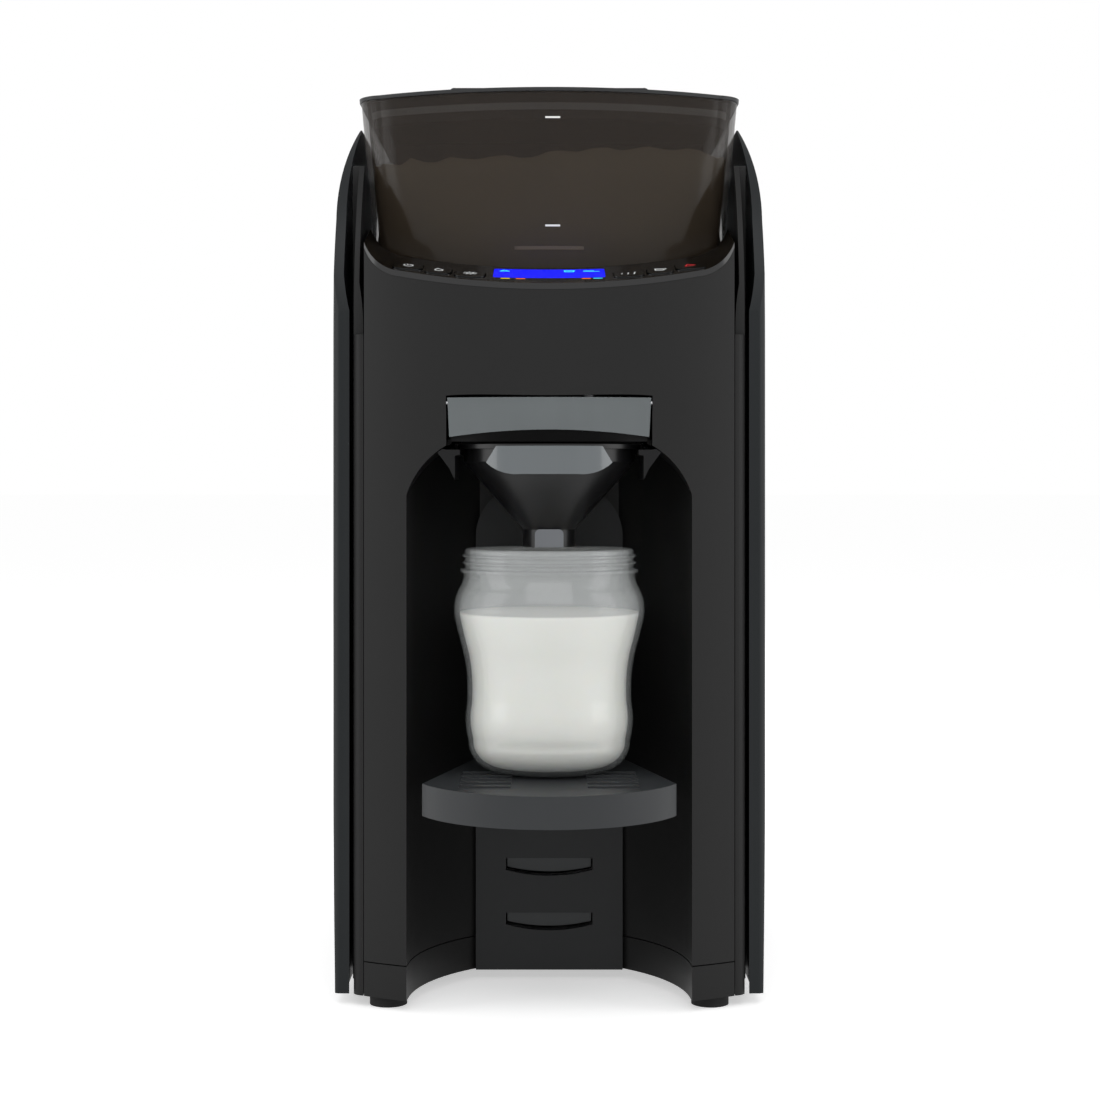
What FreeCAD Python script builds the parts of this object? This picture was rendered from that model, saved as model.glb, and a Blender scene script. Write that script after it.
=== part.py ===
import FreeCAD, Part
import math
import os
import re

# Baby formula maker: a counter-top appliance that doses powder and warm water into a bottle.
# Millimetres. +Z is up, the front looks along -Y, and the origin is the middle of the footprint
# on the table, so the bottle stand reaches forward to -Y and the water tank stands at +Y.

os.makedirs("parts", exist_ok=True)
doc = FreeCAD.newDocument("formula_maker")
Vector = FreeCAD.Vector
Rotation = FreeCAD.Rotation
Placement = FreeCAD.Placement

DIMENSIONS = [
    ("half_width", 92.5, "half of the width over the side shells"),
    ("front_reach", 165.0, "from the origin to the front of the bottle stand"),
    ("rear_reach", 163.8, "from the origin to the back of the rear cover"),
    ("full_height", 392.5, "table to the top of the hopper lid"),
    ("foot_height", 5.0, "height of the rubber feet"),
    ("foot_radius", 8.0, "radius of a rubber foot"),
    ("foot_side", 68.6, "feet to the middle plane"),
    ("foot_front", 93.0, "front feet, forward of the origin"),
    ("foot_rear", 138.0, "rear feet, behind the origin"),
    ("wall", 2.5, "moulded wall"),
    ("shell_wall", 4.3, "thickness of the side shells"),
    ("shell_top", 380.0, "top of the side shells"),
    ("shell_front", 97.0, "front edge of the side shells"),
    ("corner_radius", 30.0, "rear corners of the casing in plan"),
    ("face_front", 121.5, "middle of the bowed front face"),
    ("face_half", 78.4, "half width of the front face"),
    ("face_bow", 20.5, "how far the face curves back at its edges"),
    ("seam_height", 19.3, "seam between the base and the front shell"),
    ("seam_gap", 0.5, "width of the seams between casing pieces"),
    ("recess_back", 51.3, "rear wall of the bottle recess, forward of the origin"),
    ("recess_half", 59.5, "half width of the recess at the face"),
    ("recess_top", 238.7, "ceiling of the recess"),
    ("column_half", 32.7, "half width of the slotted column"),
    ("column_proud", 3.9, "how far the column stands out of the recess wall"),
    ("column_top", 221.0, "top of the column"),
    ("slot_half", 19.3, "half width of a stand slot"),
    ("slot_tall", 7.9, "height of a stand slot"),
    ("slot_pitch", 24.3, "height from one slot to the next"),
    ("slot_low", 26.5, "height of the lowest slot"),
    ("trim_outer", 83.1, "outer edge of the trim strips beside the face"),
    ("trim_top", 361.0, "top of the trim strips"),
    ("panel_edge", 304.6, "height of the control panel's front edge at the middle"),
    ("panel_run", 33.0, "depth over which the control panel climbs"),
    ("panel_rise", 9.7, "climb of the control panel over that depth"),
    ("panel_thick", 2.5, "thickness of the control panel"),
    ("panel_back", 89.0, "rear edge of the control panel at the middle"),
    ("button_gap", 0.35, "gap around a button"),
    ("hopper_floor", 309.0, "underside of the powder hopper"),
    ("hopper_rim", 389.8, "rim of the powder hopper"),
    ("hopper_low_half", 76.2, "half width of the hopper at its floor"),
    ("hopper_high_half", 83.2, "half width of the hopper at its rim"),
    ("hopper_low_front", 87.5, "front of the hopper at its floor"),
    ("hopper_high_front", 91.5, "front of the hopper at its rim"),
    ("hopper_bow", 22.0, "how far the hopper's front curves back at its sides"),
    ("hopper_rear", 52.0, "rear wall of the hopper"),
    ("wheel_centre", 24.0, "dosing wheel axis, forward of the origin"),
    ("wheel_radius", 58.0, "radius of the dosing wheel"),
    ("wheel_bottom", 312.6, "underside of the dosing wheel"),
    ("wheel_thick", 9.0, "thickness of the dosing wheel"),
    ("dose_holes", 12.0, "number of measuring holes in the dosing wheel"),
    ("outlet_front", 76.0, "powder outlet, forward of the origin"),
    ("outlet_radius", 8.0, "radius of the powder outlet"),
    ("funnel_axis", 96.0, "axis of the funnel and of the bottle, forward of the origin"),
    ("funnel_half", 36.4, "half width of the funnel's mouth"),
    ("funnel_deep", 30.0, "half depth of the funnel's mouth"),
    ("funnel_flange", 39.0, "half width of the funnel's flange"),
    ("funnel_top", 238.2, "top of the funnel"),
    ("funnel_band", 231.0, "where the funnel's cone begins"),
    ("funnel_neck", 202.4, "where the funnel's cone ends"),
    ("funnel_end", 195.0, "lower end of the funnel's neck"),
    ("neck_radius", 11.0, "radius of the funnel's neck"),
    ("cover_half", 42.4, "half width of the funnel cover"),
    ("cover_top", 257.6, "top of the funnel cover"),
    ("cover_bottom", 241.2, "lower corners of the funnel cover"),
    ("stand_top", 100.0, "top of the bottle stand's ribs"),
    ("stand_thick", 13.8, "thickness of the bottle stand"),
    ("stand_half", 51.9, "half width of the bottle stand"),
    ("stand_wide_at", 131.0, "where the bottle stand is widest, forward of the origin"),
    ("bottle_base", 100.1, "underside of the bottle"),
    ("tank_front", 68.0, "front wall of the water tank"),
    ("tank_rear", 162.5, "rear wall of the water tank"),
    ("tank_half", 84.0, "half width of the water tank"),
    ("tank_floor", 96.0, "underside of the water tank"),
    ("tank_rim", 374.0, "rim of the water tank"),
    ("tray_top", 95.0, "top of the tray that the water tank stands on"),
    ("valve_back", 112.0, "tank valve, behind the origin"),
    ("gear_module", 2.0, "module of the hopper drive gears"),
    ("gear_teeth", 36.0, "teeth of the large gear"),
    ("pinion_teeth", 12.0, "teeth of the pinion"),
]

sheet = doc.addObject("Spreadsheet::Sheet", "size")
for row, (alias, amount, meaning) in enumerate(DIMENSIONS, start=1):
    sheet.set("A%d" % row, meaning)
    sheet.set("B%d" % row, str(amount))
    sheet.setAlias("B%d" % row, alias)
doc.recompute()
ALIASES = {alias for alias, _, _ in DIMENSIONS}

# The three drawing planes: the axis that each looks along, the turn that lays a sketch on it,
# and the direction in which its outlines are carried.
PLANES = {
    "plan": ("z", Rotation(), Vector(0, 0, 1)),
    "front": ("y", Rotation(Vector(1, 0, 0), 90), Vector(0, 1, 0)),
    "side": ("x", Rotation(Vector(1, 1, 1), 120), Vector(1, 0, 0)),
}
ROD_TURNS = {
    "x": Rotation(Vector(0, 1, 0), 90),
    "y": Rotation(Vector(1, 0, 0), -90),
    "z": Rotation(),
}
pieces = []


def at(alias):
    """The number in the sheet, for outlines whose points are worked out here."""
    return float(sheet.get(alias))


def formula(text):
    """The text as an expression, with each alias looked up in the sheet."""
    return re.sub(
        r"[a-z]\w+",
        lambda word: "size." + word.group() if word.group() in ALIASES else word.group(),
        str(text),
    )


def bind(item, name, text):
    item.setExpression(name, formula(text))


def bind_base(item, place):
    for axis, text in zip("xyz", place):
        bind(item, "Placement.Base." + axis, text)


def keep(item, label):
    """Marks an object of the document as one finished piece of the appliance."""
    item.Label = label
    pieces.append(item)
    return item


def block(name, low, span):
    """A box from its low corner and its three lengths."""
    item = doc.addObject("Part::Box", name)
    for side, text in zip(("Length", "Width", "Height"), span):
        bind(item, side, text)
    bind_base(item, low)
    return item


def rod(name, end, radius, length, along="z"):
    """A cylinder from the middle of its low end."""
    item = doc.addObject("Part::Cylinder", name)
    bind(item, "Radius", radius)
    bind(item, "Height", length)
    item.Placement = Placement(Vector(), ROD_TURNS[along])
    bind_base(item, end)
    return item


def draw(sketch, start, steps):
    """Adds a closed outline: a step is a point for a straight run, or a pair for an arc through the first."""
    here = start
    for step in list(steps) + [start]:
        if isinstance(step[0], tuple):
            middle, there = step
            sketch.addGeometry(
                Part.Arc(Vector(*here, 0), Vector(*middle, 0), Vector(*there, 0)), False
            )
        elif step != here:
            there = step
            sketch.addGeometry(Part.LineSegment(Vector(*here, 0), Vector(*there, 0)), False)
        here = there


def flat_sketch(name, plane, start, steps):
    sketch = doc.addObject("Sketcher::SketchObject", name)
    sketch.Placement = Placement(Vector(), PLANES[plane][1])
    draw(sketch, start, steps)
    return sketch


def prism(name, plane, low, high, start, *steps):
    """An outline carried along its plane's own axis, from low to high."""
    axis, _, direction = PLANES[plane]
    sketch = flat_sketch(name + "_outline", plane, start, steps)
    bind(sketch, "Placement.Base." + axis, low)
    return carried(name, sketch, direction, "(%s) - (%s)" % (high, low))


def carried(name, sketch, direction, forward, back="0"):
    item = doc.addObject("Part::Extrusion", name)
    item.Base = sketch
    item.DirMode = "Custom"
    item.Dir = direction
    item.Solid = True
    bind(item, "LengthFwd", forward)
    bind(item, "LengthRev", back)
    return item


def turned(name, centre, start, *steps):
    """A round piece about an upright axis: the outline's points are radius and height."""
    sketch = flat_sketch(name + "_outline", "front", start, steps)
    sketch.Placement.Base = Vector(centre[0], centre[1], 0)
    item = doc.addObject("Part::Revolution", name)
    item.Source = sketch
    item.Axis = Vector(0, 0, 1)
    item.Base = Vector(centre[0], centre[1], 0)
    item.Angle = 360
    item.Solid = True
    return item


def mirrored(name, item):
    """The same piece on the other side of the middle plane."""
    other = doc.addObject("Part::Mirroring", name)
    other.Source = item
    other.Base = Vector()
    other.Normal = Vector(1, 0, 0)
    return other


def fuse(name, *items):
    item = doc.addObject("Part::MultiFuse", name)
    item.Shapes = list(items)
    return item


def cut(name, base, *tools):
    tool = tools[0] if len(tools) == 1 else fuse(name + "_tools", *tools)
    item = doc.addObject("Part::Cut", name)
    item.Base = base
    item.Tool = tool
    return item


def common(name, first, second):
    item = doc.addObject("Part::Common", name)
    item.Base = first
    item.Tool = second
    return item


def group(name, *items):
    """Separate solids that are one kind of piece, such as four screws."""
    item = doc.addObject("Part::Compound", name)
    item.Links = list(items)
    return item


def both_sides(points):
    """A left-to-right path from its left half, which ends before the middle plane."""
    right = []
    for index in range(len(points) - 1, 0, -1):
        step = points[index]
        before = points[index - 1]
        here = before[1] if isinstance(before[0], tuple) else before
        if isinstance(step[0], tuple):
            right.append(((-step[0][0], step[0][1]), (-here[0], here[1])))
        else:
            right.append((-here[0], here[1]))
    last = points[-1][1] if isinstance(points[-1][0], tuple) else points[-1]
    return list(points) + [(-last[0], last[1])] + right


# The outer casing is one envelope: a front outline and a plan outline carried through each other.
# The side shells and the rear cover are cut from the wall between it and a smaller one.


def casing_envelope(name, inset):
    half = at("half_width") - inset
    top = at("shell_top") + (1.0 if inset else 0.0)
    rear = at("rear_reach") - inset
    corner = at("corner_radius") - inset
    front = -at("shell_front")
    diagonal = corner * math.sqrt(0.5)
    shape = prism(
        name + "_front_view", "front", "-shell_front", "rear_reach",
        (-half + 1.3, at("foot_height")),
        ((-half, 170.0), (-half + 0.9, 335.0)),
        ((-half + 3.4 - 0.35 * inset, 364.0), (-half + 7.9 - 0.8 * inset, top)),
        (half - 7.9 + 0.8 * inset, top),
        ((half - 3.4 + 0.35 * inset, 364.0), (half - 0.9, 335.0)),
        ((half, 170.0), (half - 1.3, at("foot_height"))),
    )
    plan = prism(
        name + "_plan", "plan", "0", "full_height",
        (-half + 3.2, front), ((-half + 1.2, front + 1.2), (-half + 0.5, front + 4.5)),
        (-half, front + 30.0), (-half, rear - corner),
        ((-half + corner - diagonal, rear - corner + diagonal), (-half + corner, rear)),
        (half - corner, rear),
        ((half - corner + diagonal, rear - corner + diagonal), (half, rear - corner)),
        (half, front + 30.0), (half - 0.5, front + 4.5), ((half - 1.2, front + 1.2), (half - 3.2, front)),
    )
    return common(name, shape, plan)


def front_slope():
    """What is taken off the shells and trim strips where their front edges lean back at the top."""
    return prism(
        "front_slope", "side", "-half_width", "half_width",
        (-150.0, 420.0), (-46.0, 420.0), (-50.0, 380.0),
        ((-83.0, 343.0), (-97.2, 285.0)), (-150.0, 285.0),
    )


outer_casing = casing_envelope("outer_casing", 0.0)
inner_casing = casing_envelope("inner_casing", at("shell_wall"))
casing_wall = cut("casing_wall", outer_casing, inner_casing)
slope = front_slope()
behind_tower = block(
    "behind_tower", ("-half_width", "tank_front - 2", "tray_top + 1"),
    ("2*half_width", "rear_reach", "full_height"),
)


def side_shells():
    """Two smooth outer shells, right down to the feet, low behind where the tank stands."""
    span = block(
        "left_half", ("-half_width - 1", "-shell_front - 1", "foot_height"),
        ("half_width - 20", "shell_front + rear_reach - corner_radius", "shell_top"),
    )
    left = cut("left_side_shell", common("left_shell_wall", casing_wall, span), slope, behind_tower)
    keep(left, "left_side_shell")
    keep(mirrored("right_shell", left), "right_side_shell")


REAR_SCREW_PLACES = (("-40", "86"), ("40", "86"), ("-22", "14"), ("22", "14"))


def rear_cover():
    """The back of the base, with its rounded corners, a vent grille and holes for the cord and switch."""
    span = block(
        "rear_part", ("-half_width - 1", "rear_reach - corner_radius + seam_gap", "foot_height"),
        ("2*half_width + 2", "corner_radius + 1", "tray_top + 1 - foot_height"),
    )
    wall = common("rear_wall", casing_wall, span)
    vents = [
        block("vent_%d" % number, ("-30 + %d" % (6 * number), "rear_reach - 10", "52"), ("3", "20", "26"))
        for number in range(11)
    ]
    gland_hole = rod("gland_hole", ("-52", "rear_reach - 10", "30"), "6.2", "20", "y")
    switch_hole = block("switch_hole", ("38.4", "rear_reach - 10", "22.4"), ("21.2", "20", "15.2"))
    screw_holes = [
        fuse("screw_hole_%d" % number, rod("screw_seat_%d" % number, (x, "rear_reach - 2.1", z), "3.2", "3", "y"),
             rod("screw_bore_%d" % number, (x, "rear_reach - 10", z), "1.8", "12", "y"))
        for number, (x, z) in enumerate(REAR_SCREW_PLACES)
    ]
    keep(cut("rear_cover", wall, gland_hole, switch_hole, *vents, *screw_holes), "rear_cover")


def face_curve_y(side):
    """How far forward the bowed face is at a distance from the middle plane."""
    half, bow = at("face_half"), at("face_bow")
    radius = (half ** 2 + bow ** 2) / (2 * bow)
    return -at("face_front") + radius - math.sqrt(radius ** 2 - side ** 2)


def face_block(name, inset):
    """Everything behind the bowed face, moved back by the inset."""
    half = at("face_half")
    front = face_curve_y(half) + inset
    return prism(
        name, "plan", "foot_height", "shell_top",
        (-half, -at("recess_back") + 4.0), (-half, front),
        ((0.0, -at("face_front") + inset), (half, front)), (half, -at("recess_back") + 4.0),
    )


def recess_block(name, grown):
    """The arched alcove that the bottle stands in: a plan and a front view carried through each other."""
    half = at("recess_half") + grown
    back = -at("recess_back") + grown
    top = at("recess_top") + grown
    plan = prism(
        name + "_plan", "plan", "0", "recess_top + 10",
        *both_sides([
            (-half - 2.0, -130.0), (-half, -106.0), ((-52.0 - grown, -77.0), (-31.1 - grown, back)),
        ])
    )
    view = prism(
        name + "_front_view", "front", "-130", "-40",
        *both_sides([
            (-half - 2.0, 0.0), (-half - 2.0, 204.0), ((-55.5 - grown, 226.0), (-41.0, top)),
        ])
    )
    return common(name, plan, view)


def smile_region(name, drop):
    """The space above the control panel's surface, which curves up at the sides and climbs rearwards."""
    edge = at("panel_edge") - drop
    half = at("face_half") + 1.0
    sketch = flat_sketch(
        name + "_outline", "front", (-half, edge + 18.0),
        [
            ((-74.0, edge + 6.9), (-63.0, edge + 2.8)), ((0.0, edge), (63.0, edge + 2.8)),
            ((74.0, edge + 6.9), (half, edge + 18.0)), (half, edge + 130.0), (-half, edge + 130.0),
        ],
    )
    sketch.Placement.Base = Vector(0, -at("face_front"), 0)
    return carried(name, sketch, Vector(0, at("panel_run"), at("panel_rise")), "100", "12")


recess = recess_block("recess", 0.0)
recess_wall = common("recess_wall", face_block("face_behind", 0.0), recess_block("recess_grown", at("wall")))
face_wall = cut("face_wall", face_block("face_outer", 0.0), face_block("face_inner", at("wall") + 0.5))
front_wall = cut("front_wall", fuse("front_wall_solid", face_wall, recess_wall), recess)
under_panel = smile_region("under_panel", at("panel_thick") + 0.1)


def slot_cutters(name, deep, numbers):
    """Slots with a straight top and a bowed underside, in the column and the wall behind it."""
    cutters = []
    half, tall = at("slot_half"), at("slot_tall")
    for number in numbers:
        low = at("slot_low") - tall / 2 + number * at("slot_pitch")
        cutters.append(prism(
            "%s_%d" % (name, number), "front", "-recess_back - column_proud - 1", deep,
            (-half, low + tall), (-half, low + 2.6), ((0.0, low), (half, low + 2.6)), (half, low + tall),
        ))
    return cutters


def cover_hinge():
    """The funnel cover's hinge line, just behind the face above the funnel."""
    return -at("face_front") + 8.0, at("cover_top") - 2.1


def front_shell():
    """The bowed front panel, one moulding with the walls and ceiling of the bottle recess."""
    body = block(
        "above_seam", ("-half_width", "-rear_reach", "seam_height + seam_gap"),
        ("2*half_width", "2*rear_reach", "shell_top"),
    )
    window = block(
        "window_hole", ("-cover_half - seam_gap", "-face_front - 5", "cover_bottom - 4"),
        ("2*cover_half + 2*seam_gap", "22", "cover_top - cover_bottom + 4.5"),
    )
    hinge_y, hinge_z = cover_hinge()
    relief_sketch = flat_sketch(
        "hinge_relief_outline", "front", (-43.0, hinge_z),
        [(-43.0, hinge_z + 3.6), ((0.0, hinge_z + 8.5), (43.0, hinge_z + 3.6)), (43.0, hinge_z)],
    )
    relief_sketch.Placement.Base = Vector(0, hinge_y, 0)
    relief = doc.addObject("Part::Revolution", "hinge_relief")
    relief.Source = relief_sketch
    relief.Axis = Vector(1, 0, 0)
    relief.Base = Vector(0, hinge_y, hinge_z)
    relief.Angle = 360
    relief.Solid = True
    pin_hole = rod("cover_pin_hole", ("-cover_half - 3", "-face_front + 8", "cover_top - 2.1"), "1", "2*cover_half + 6", "x")
    hood_hole = block("hood_hole", ("-41.2", "-face_front", "recess_top - 3"), ("82.4", "61.3", "8"))
    shell = common("front_shell_wall", front_wall, body)
    slots = slot_cutters("shell_slot", "-recess_back + 6", (0, 1, 2, 3))
    keep(cut("front_shell", shell, under_panel, window, relief, pin_hole, hood_hole, *slots), "front_shell")


def base_pan():
    """The bottom plate, with a rim that carries the line of the face and recess down to the table."""
    rim = common(
        "pan_rim", front_wall,
        block("below_seam", ("-half_width", "-rear_reach", "foot_height"),
              ("2*half_width", "2*rear_reach", "seam_height - foot_height")),
    )
    floor = common(
        "pan_floor", inner_casing,
        block("floor_slab", ("-half_width", "-recess_back + 2", "foot_height"),
              ("2*half_width", "rear_reach + recess_back - 7", "3")),
    )
    wings = cut(
        "pan_wings",
        common("pan_front", face_block("face_for_pan", 0.5),
               block("wing_slab", ("-half_width", "-rear_reach", "foot_height"), ("2*half_width", "rear_reach", "3"))),
        recess,
    )
    holes = [
        rod("pan_hole_%d" % number, (side, place, "0"), "2.2", "20")
        for number, (side, place) in enumerate(foot_places())
    ]
    keep(cut("base_pan", fuse("pan_solid", rim, floor, wings), *holes), "base_pan")


def foot_places():
    return [
        (side + "foot_side", place)
        for side in ("-", "") for place in ("-foot_front", "foot_rear")
    ]


def feet_and_screws():
    """Four rubber feet, each held by a screw up through its middle."""
    feet = []
    screws = []
    for number, (side, place) in enumerate(foot_places()):
        pad = rod("foot_pad_%d" % number, (side, place, "0"), "foot_radius", "foot_height")
        well = rod("foot_well_%d" % number, (side, place, "-1"), "3.4", "3.6")
        hole = rod("foot_hole_%d" % number, (side, place, "0"), "2.2", "foot_height + 1")
        feet.append(cut("foot_%d" % number, pad, well, hole))
        head = rod("screw_head_%d" % number, (side, place, "0.6"), "3.2", "2")
        shank = rod("screw_shank_%d" % number, (side, place, "1"), "1.9", "14")
        screws.append(fuse("foot_screw_%d" % number, head, shank))
    keep(group("feet", *feet), "rubber_feet")
    return screws


def trim_strips():
    """Narrow strips between the face and the dark grooves; each turns back to close its groove behind."""
    face = at("face_half") + 0.3
    outer = at("trim_outer")
    front = face_curve_y(at("face_half")) + 0.4
    strip = prism(
        "trim_strip", "plan", "foot_height", "trim_top",
        (face, front), ((face + 2.4, front + 0.9), (outer, front + 3.6)), (outer, -71.0),
        (at("half_width") - at("shell_wall") - 2.2, -71.0), (at("half_width") - at("shell_wall") - 2.2, -68.6),
        (outer - 2.2, -68.6), (outer - 2.2, front + 5.0), (face, front + 3.0),
    )
    right = cut("right_trim_strip", strip, slope)
    keep(right, "right_trim_strip")
    keep(mirrored("left_strip", right), "left_trim_strip")


side_shells()
rear_cover()
front_shell()
base_pan()
foot_screws = feet_and_screws()
trim_strips()


def column():
    """The slotted column on the recess wall, with an arched top, and the light pads seen in its slots."""
    half, top = at("column_half"), at("column_top")
    plate = prism(
        "column_plate", "front", "-recess_back - column_proud", "-recess_back - 0.05",
        (-half, at("foot_height")), (-half, top - 24.0), ((-half * 0.78, top - 6.0), (-half * 0.4, top)),
        (half * 0.4, top), ((half * 0.78, top - 6.0), (half, top - 24.0)), (half, at("foot_height")),
    )
    slots = slot_cutters("column_slot", "-recess_back + 1", (0, 1, 2, 3))
    in_recess = common("column_in_recess", plate, recess_block("column_room", -0.12))
    keep(cut("slot_column_solid", in_recess, *slots), "slot_column")
    half, tall = at("slot_half") - 0.6, at("slot_tall")
    pads = []
    for number in (0, 1, 2):
        low = at("slot_low") - tall / 2 + number * at("slot_pitch")
        pads.append(prism(
            "slot_pad_%d" % number, "front", "-recess_back - 1.6", "-recess_back + 1.4",
            (-half, low + tall - 0.3), (-half, low + 3.8), ((0.0, low + 1.6), (half, low + 3.8)),
            (half, low + tall - 0.3),
        ))
    keep(group("slot_blanks", *pads), "slot_blanks")


def lens_and_buttons():
    """The glossy control panel, its display window and six buttons, each a piece of the same curved surface."""
    reach = face_block("face_for_panel", 0.15)
    behind = prism(
        "panel_rear_line", "plan", "recess_top", "full_height",
        (-82.0, -66.0), ((0.0, -at("panel_back")), (82.0, -66.0)), (82.0, -20.0), (-82.0, -20.0),
    )
    skin = cut("panel_skin", smile_region("panel_bottom", at("panel_thick")), smile_region("panel_top", 0.0))
    lens = cut("panel_lens", common("panel_in_face", skin, reach), behind)
    raised = cut("button_skin", smile_region("button_bottom", at("panel_thick") + 0.6), smile_region("button_top", -0.5))
    tilt = math.atan2(at("panel_rise"), at("panel_run"))

    def tilted(name, low_x, high_x, low_y, high_y, corner, grow):
        left, right = low_x - grow, high_x + grow
        front, back = low_y - grow, high_y + grow
        inside = corner * (1 - math.sqrt(0.5))
        sketch = flat_sketch(
            name + "_outline", "plan", (left + corner, front),
            [
                (right - corner, front), ((right - inside, front + inside), (right, front + corner)),
                (right, back - corner), ((right - inside, back - inside), (right - corner, back)),
                (left + corner, back), ((left + inside, back - inside), (left, back - corner)),
                (left, front + corner), ((left + inside, front + inside), (left + corner, front)),
            ],
        )
        sketch.Placement = Placement(
            Vector(0, -at("face_front"), at("panel_edge")), Rotation(Vector(1, 0, 0), math.degrees(tilt))
        )
        return carried(name, sketch, Vector(0, -math.sin(tilt), math.cos(tilt)), "30", "12")

    places = {
        "button_power": (-66.0, -53.6), "button_water": (-52.2, -41.2), "button_light": (-39.6, -27.0),
        "button_volume": (27.0, 39.6), "button_powder": (41.2, 52.2), "button_start": (53.6, 66.0),
    }
    holes = []
    for label, (low_x, high_x) in places.items():
        bend = (low_x + high_x) ** 2 / 4 / 285.0
        low_y, high_y = 5.4 + bend, 17.6 + bend * 1.15
        cap = tilted(label + "_prism", low_x, high_x, low_y, high_y, 3.0, 0.0)
        keep(common(label + "_cap", raised, cap), label)
        holes.append(tilted(label + "_hole", low_x, high_x, low_y, high_y, 3.0, at("button_gap")))
    glass = tilted("display_prism", -23.5, 23.5, 11.5, 31.0, 1.5, 0.0)
    window = tilted("display_hole", -23.5, 23.5, 11.5, 31.0, 1.5, 0.1)
    keep(common("display_glass_solid", lens, glass), "display_glass")
    keep(cut("control_panel_solid", lens, window, *holes), "control_panel")
    board = block("board_slab", ("-56", "14", "-7.4"), ("112", "17", "1.6"))
    parts = [board]
    for number, (low_x, high_x) in enumerate(places.values()):
        middle = (low_x + high_x) / 2
        if abs(middle) < 50.0:
            parts.append(block("switch_%d" % number, ("%f" % (middle - 3), "15", "-5.8"), ("6", "6", "1.6")))
    parts.append(block("display_can", ("-22", "15.5", "-5.8"), ("44", "14.5", "2.2")))
    board_set = fuse("board_flat", *parts)
    board_set.Placement = Placement(
        Vector(0, -at("face_front"), at("panel_edge")), Rotation(Vector(1, 0, 0), math.degrees(tilt))
    )
    keep(board_set, "control_board")


column()
lens_and_buttons()


def hopper_level(name, height, inset):
    """The hopper's plan at a height: a bowed front, straight sides and rounded corners, as a flat sketch."""
    share = (height - at("hopper_floor")) / (at("hopper_rim") - at("hopper_floor"))
    half = at("hopper_low_half") + share * (at("hopper_high_half") - at("hopper_low_half")) - inset
    front = at("hopper_low_front") + share * (at("hopper_high_front") - at("hopper_low_front")) - inset
    rear = at("hopper_rear") - inset
    side_front = -front + at("hopper_bow")
    corner = 9.0 - inset
    inside = corner * (1 - math.sqrt(0.5))
    sketch = flat_sketch(
        name, "plan", (-half + corner, rear),
        [
            ((-half + inside, rear - inside), (-half, rear - corner)), (-half, side_front + corner),
            ((-half + inside * 0.9, side_front + 2.0), (-half + corner, side_front - 3.0)),
            ((0.0, -front), (half - corner, side_front - 3.0)),
            ((half - inside * 0.9, side_front + 2.0), (half, side_front + corner)),
            (half, rear - corner), ((half - inside, rear - inside), (half - corner, rear)),
        ],
    )
    sketch.Placement.Base = Vector(0, 0, height)
    return sketch


def tapered(name, low, high, inset):
    """The hopper's own taper between two heights."""
    item = doc.addObject("Part::Loft", name)
    item.Sections = [hopper_level(name + "_low", low, inset), hopper_level(name + "_high", high, inset)]
    item.Solid = True
    item.Ruled = True
    return item


def ring(name, centre, outer, inner, low, tall):
    """A plain ring or tube standing upright: a bush, boss or collar."""
    end = ("0", centre, low)
    return cut(name, rod(name + "_outer", end, outer, tall),
               rod(name + "_bore", ("0", centre, "%s - 1" % low), inner, "%s + 2" % tall))


def hopper_set():
    """The clear powder hopper, with its wheel well and outlet shield moulded in, and the lid's hinge pin."""
    floor, rim, wall = at("hopper_floor"), at("hopper_rim"), at("wall")
    outside = tapered("hopper_outside", floor, rim, 0.0)
    inside = tapered("hopper_inside", floor + 3.0, rim + 1.0, wall)
    outlet = rod("hopper_outlet", ("0", "-outlet_front", "hopper_floor - 1"), "outlet_radius", "5")
    axle_hole = rod("axle_hole", ("0", "-wheel_centre", "hopper_floor - 1"), "9.4", "5")
    ears = fuse("hinge_ears", *[
        block("ear_%d" % number, (side, "hopper_rear - 1", "hopper_rim - 9"), ("6", "8.2", "8.5"))
        for number, side in enumerate(("-52", "46"))
    ])
    well = ring("wheel_well", "-wheel_centre", "wheel_radius + 2.6", "wheel_radius + 0.6",
                "hopper_floor + 2.5", "wheel_thick + 1.5")
    shield = block("shield_plate", ("-15", "-outlet_front - 13", "wheel_bottom + wheel_thick + 1"), ("30", "28", "1.6"))
    fittings = common("fittings_inside", fuse("fittings", well, shield), tapered("well_limit", floor + 1.0, rim, 1.0))
    tub = fuse("hopper_tub", cut("hopper_wall", outside, inside), fittings, ears)
    pin_hole = rod("lid_pin_hole", ("-60", "hopper_rear + 4", "hopper_rim - 5"), "1.75", "120", "x")
    keep(cut("powder_hopper_solid", tub, outlet, axle_hole, pin_hole), "powder_hopper")
    keep(rod("lid_pin", ("-52", "hopper_rear + 4", "hopper_rim - 5"), "1.7", "104", "x"), "lid_hinge_pin")


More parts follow.
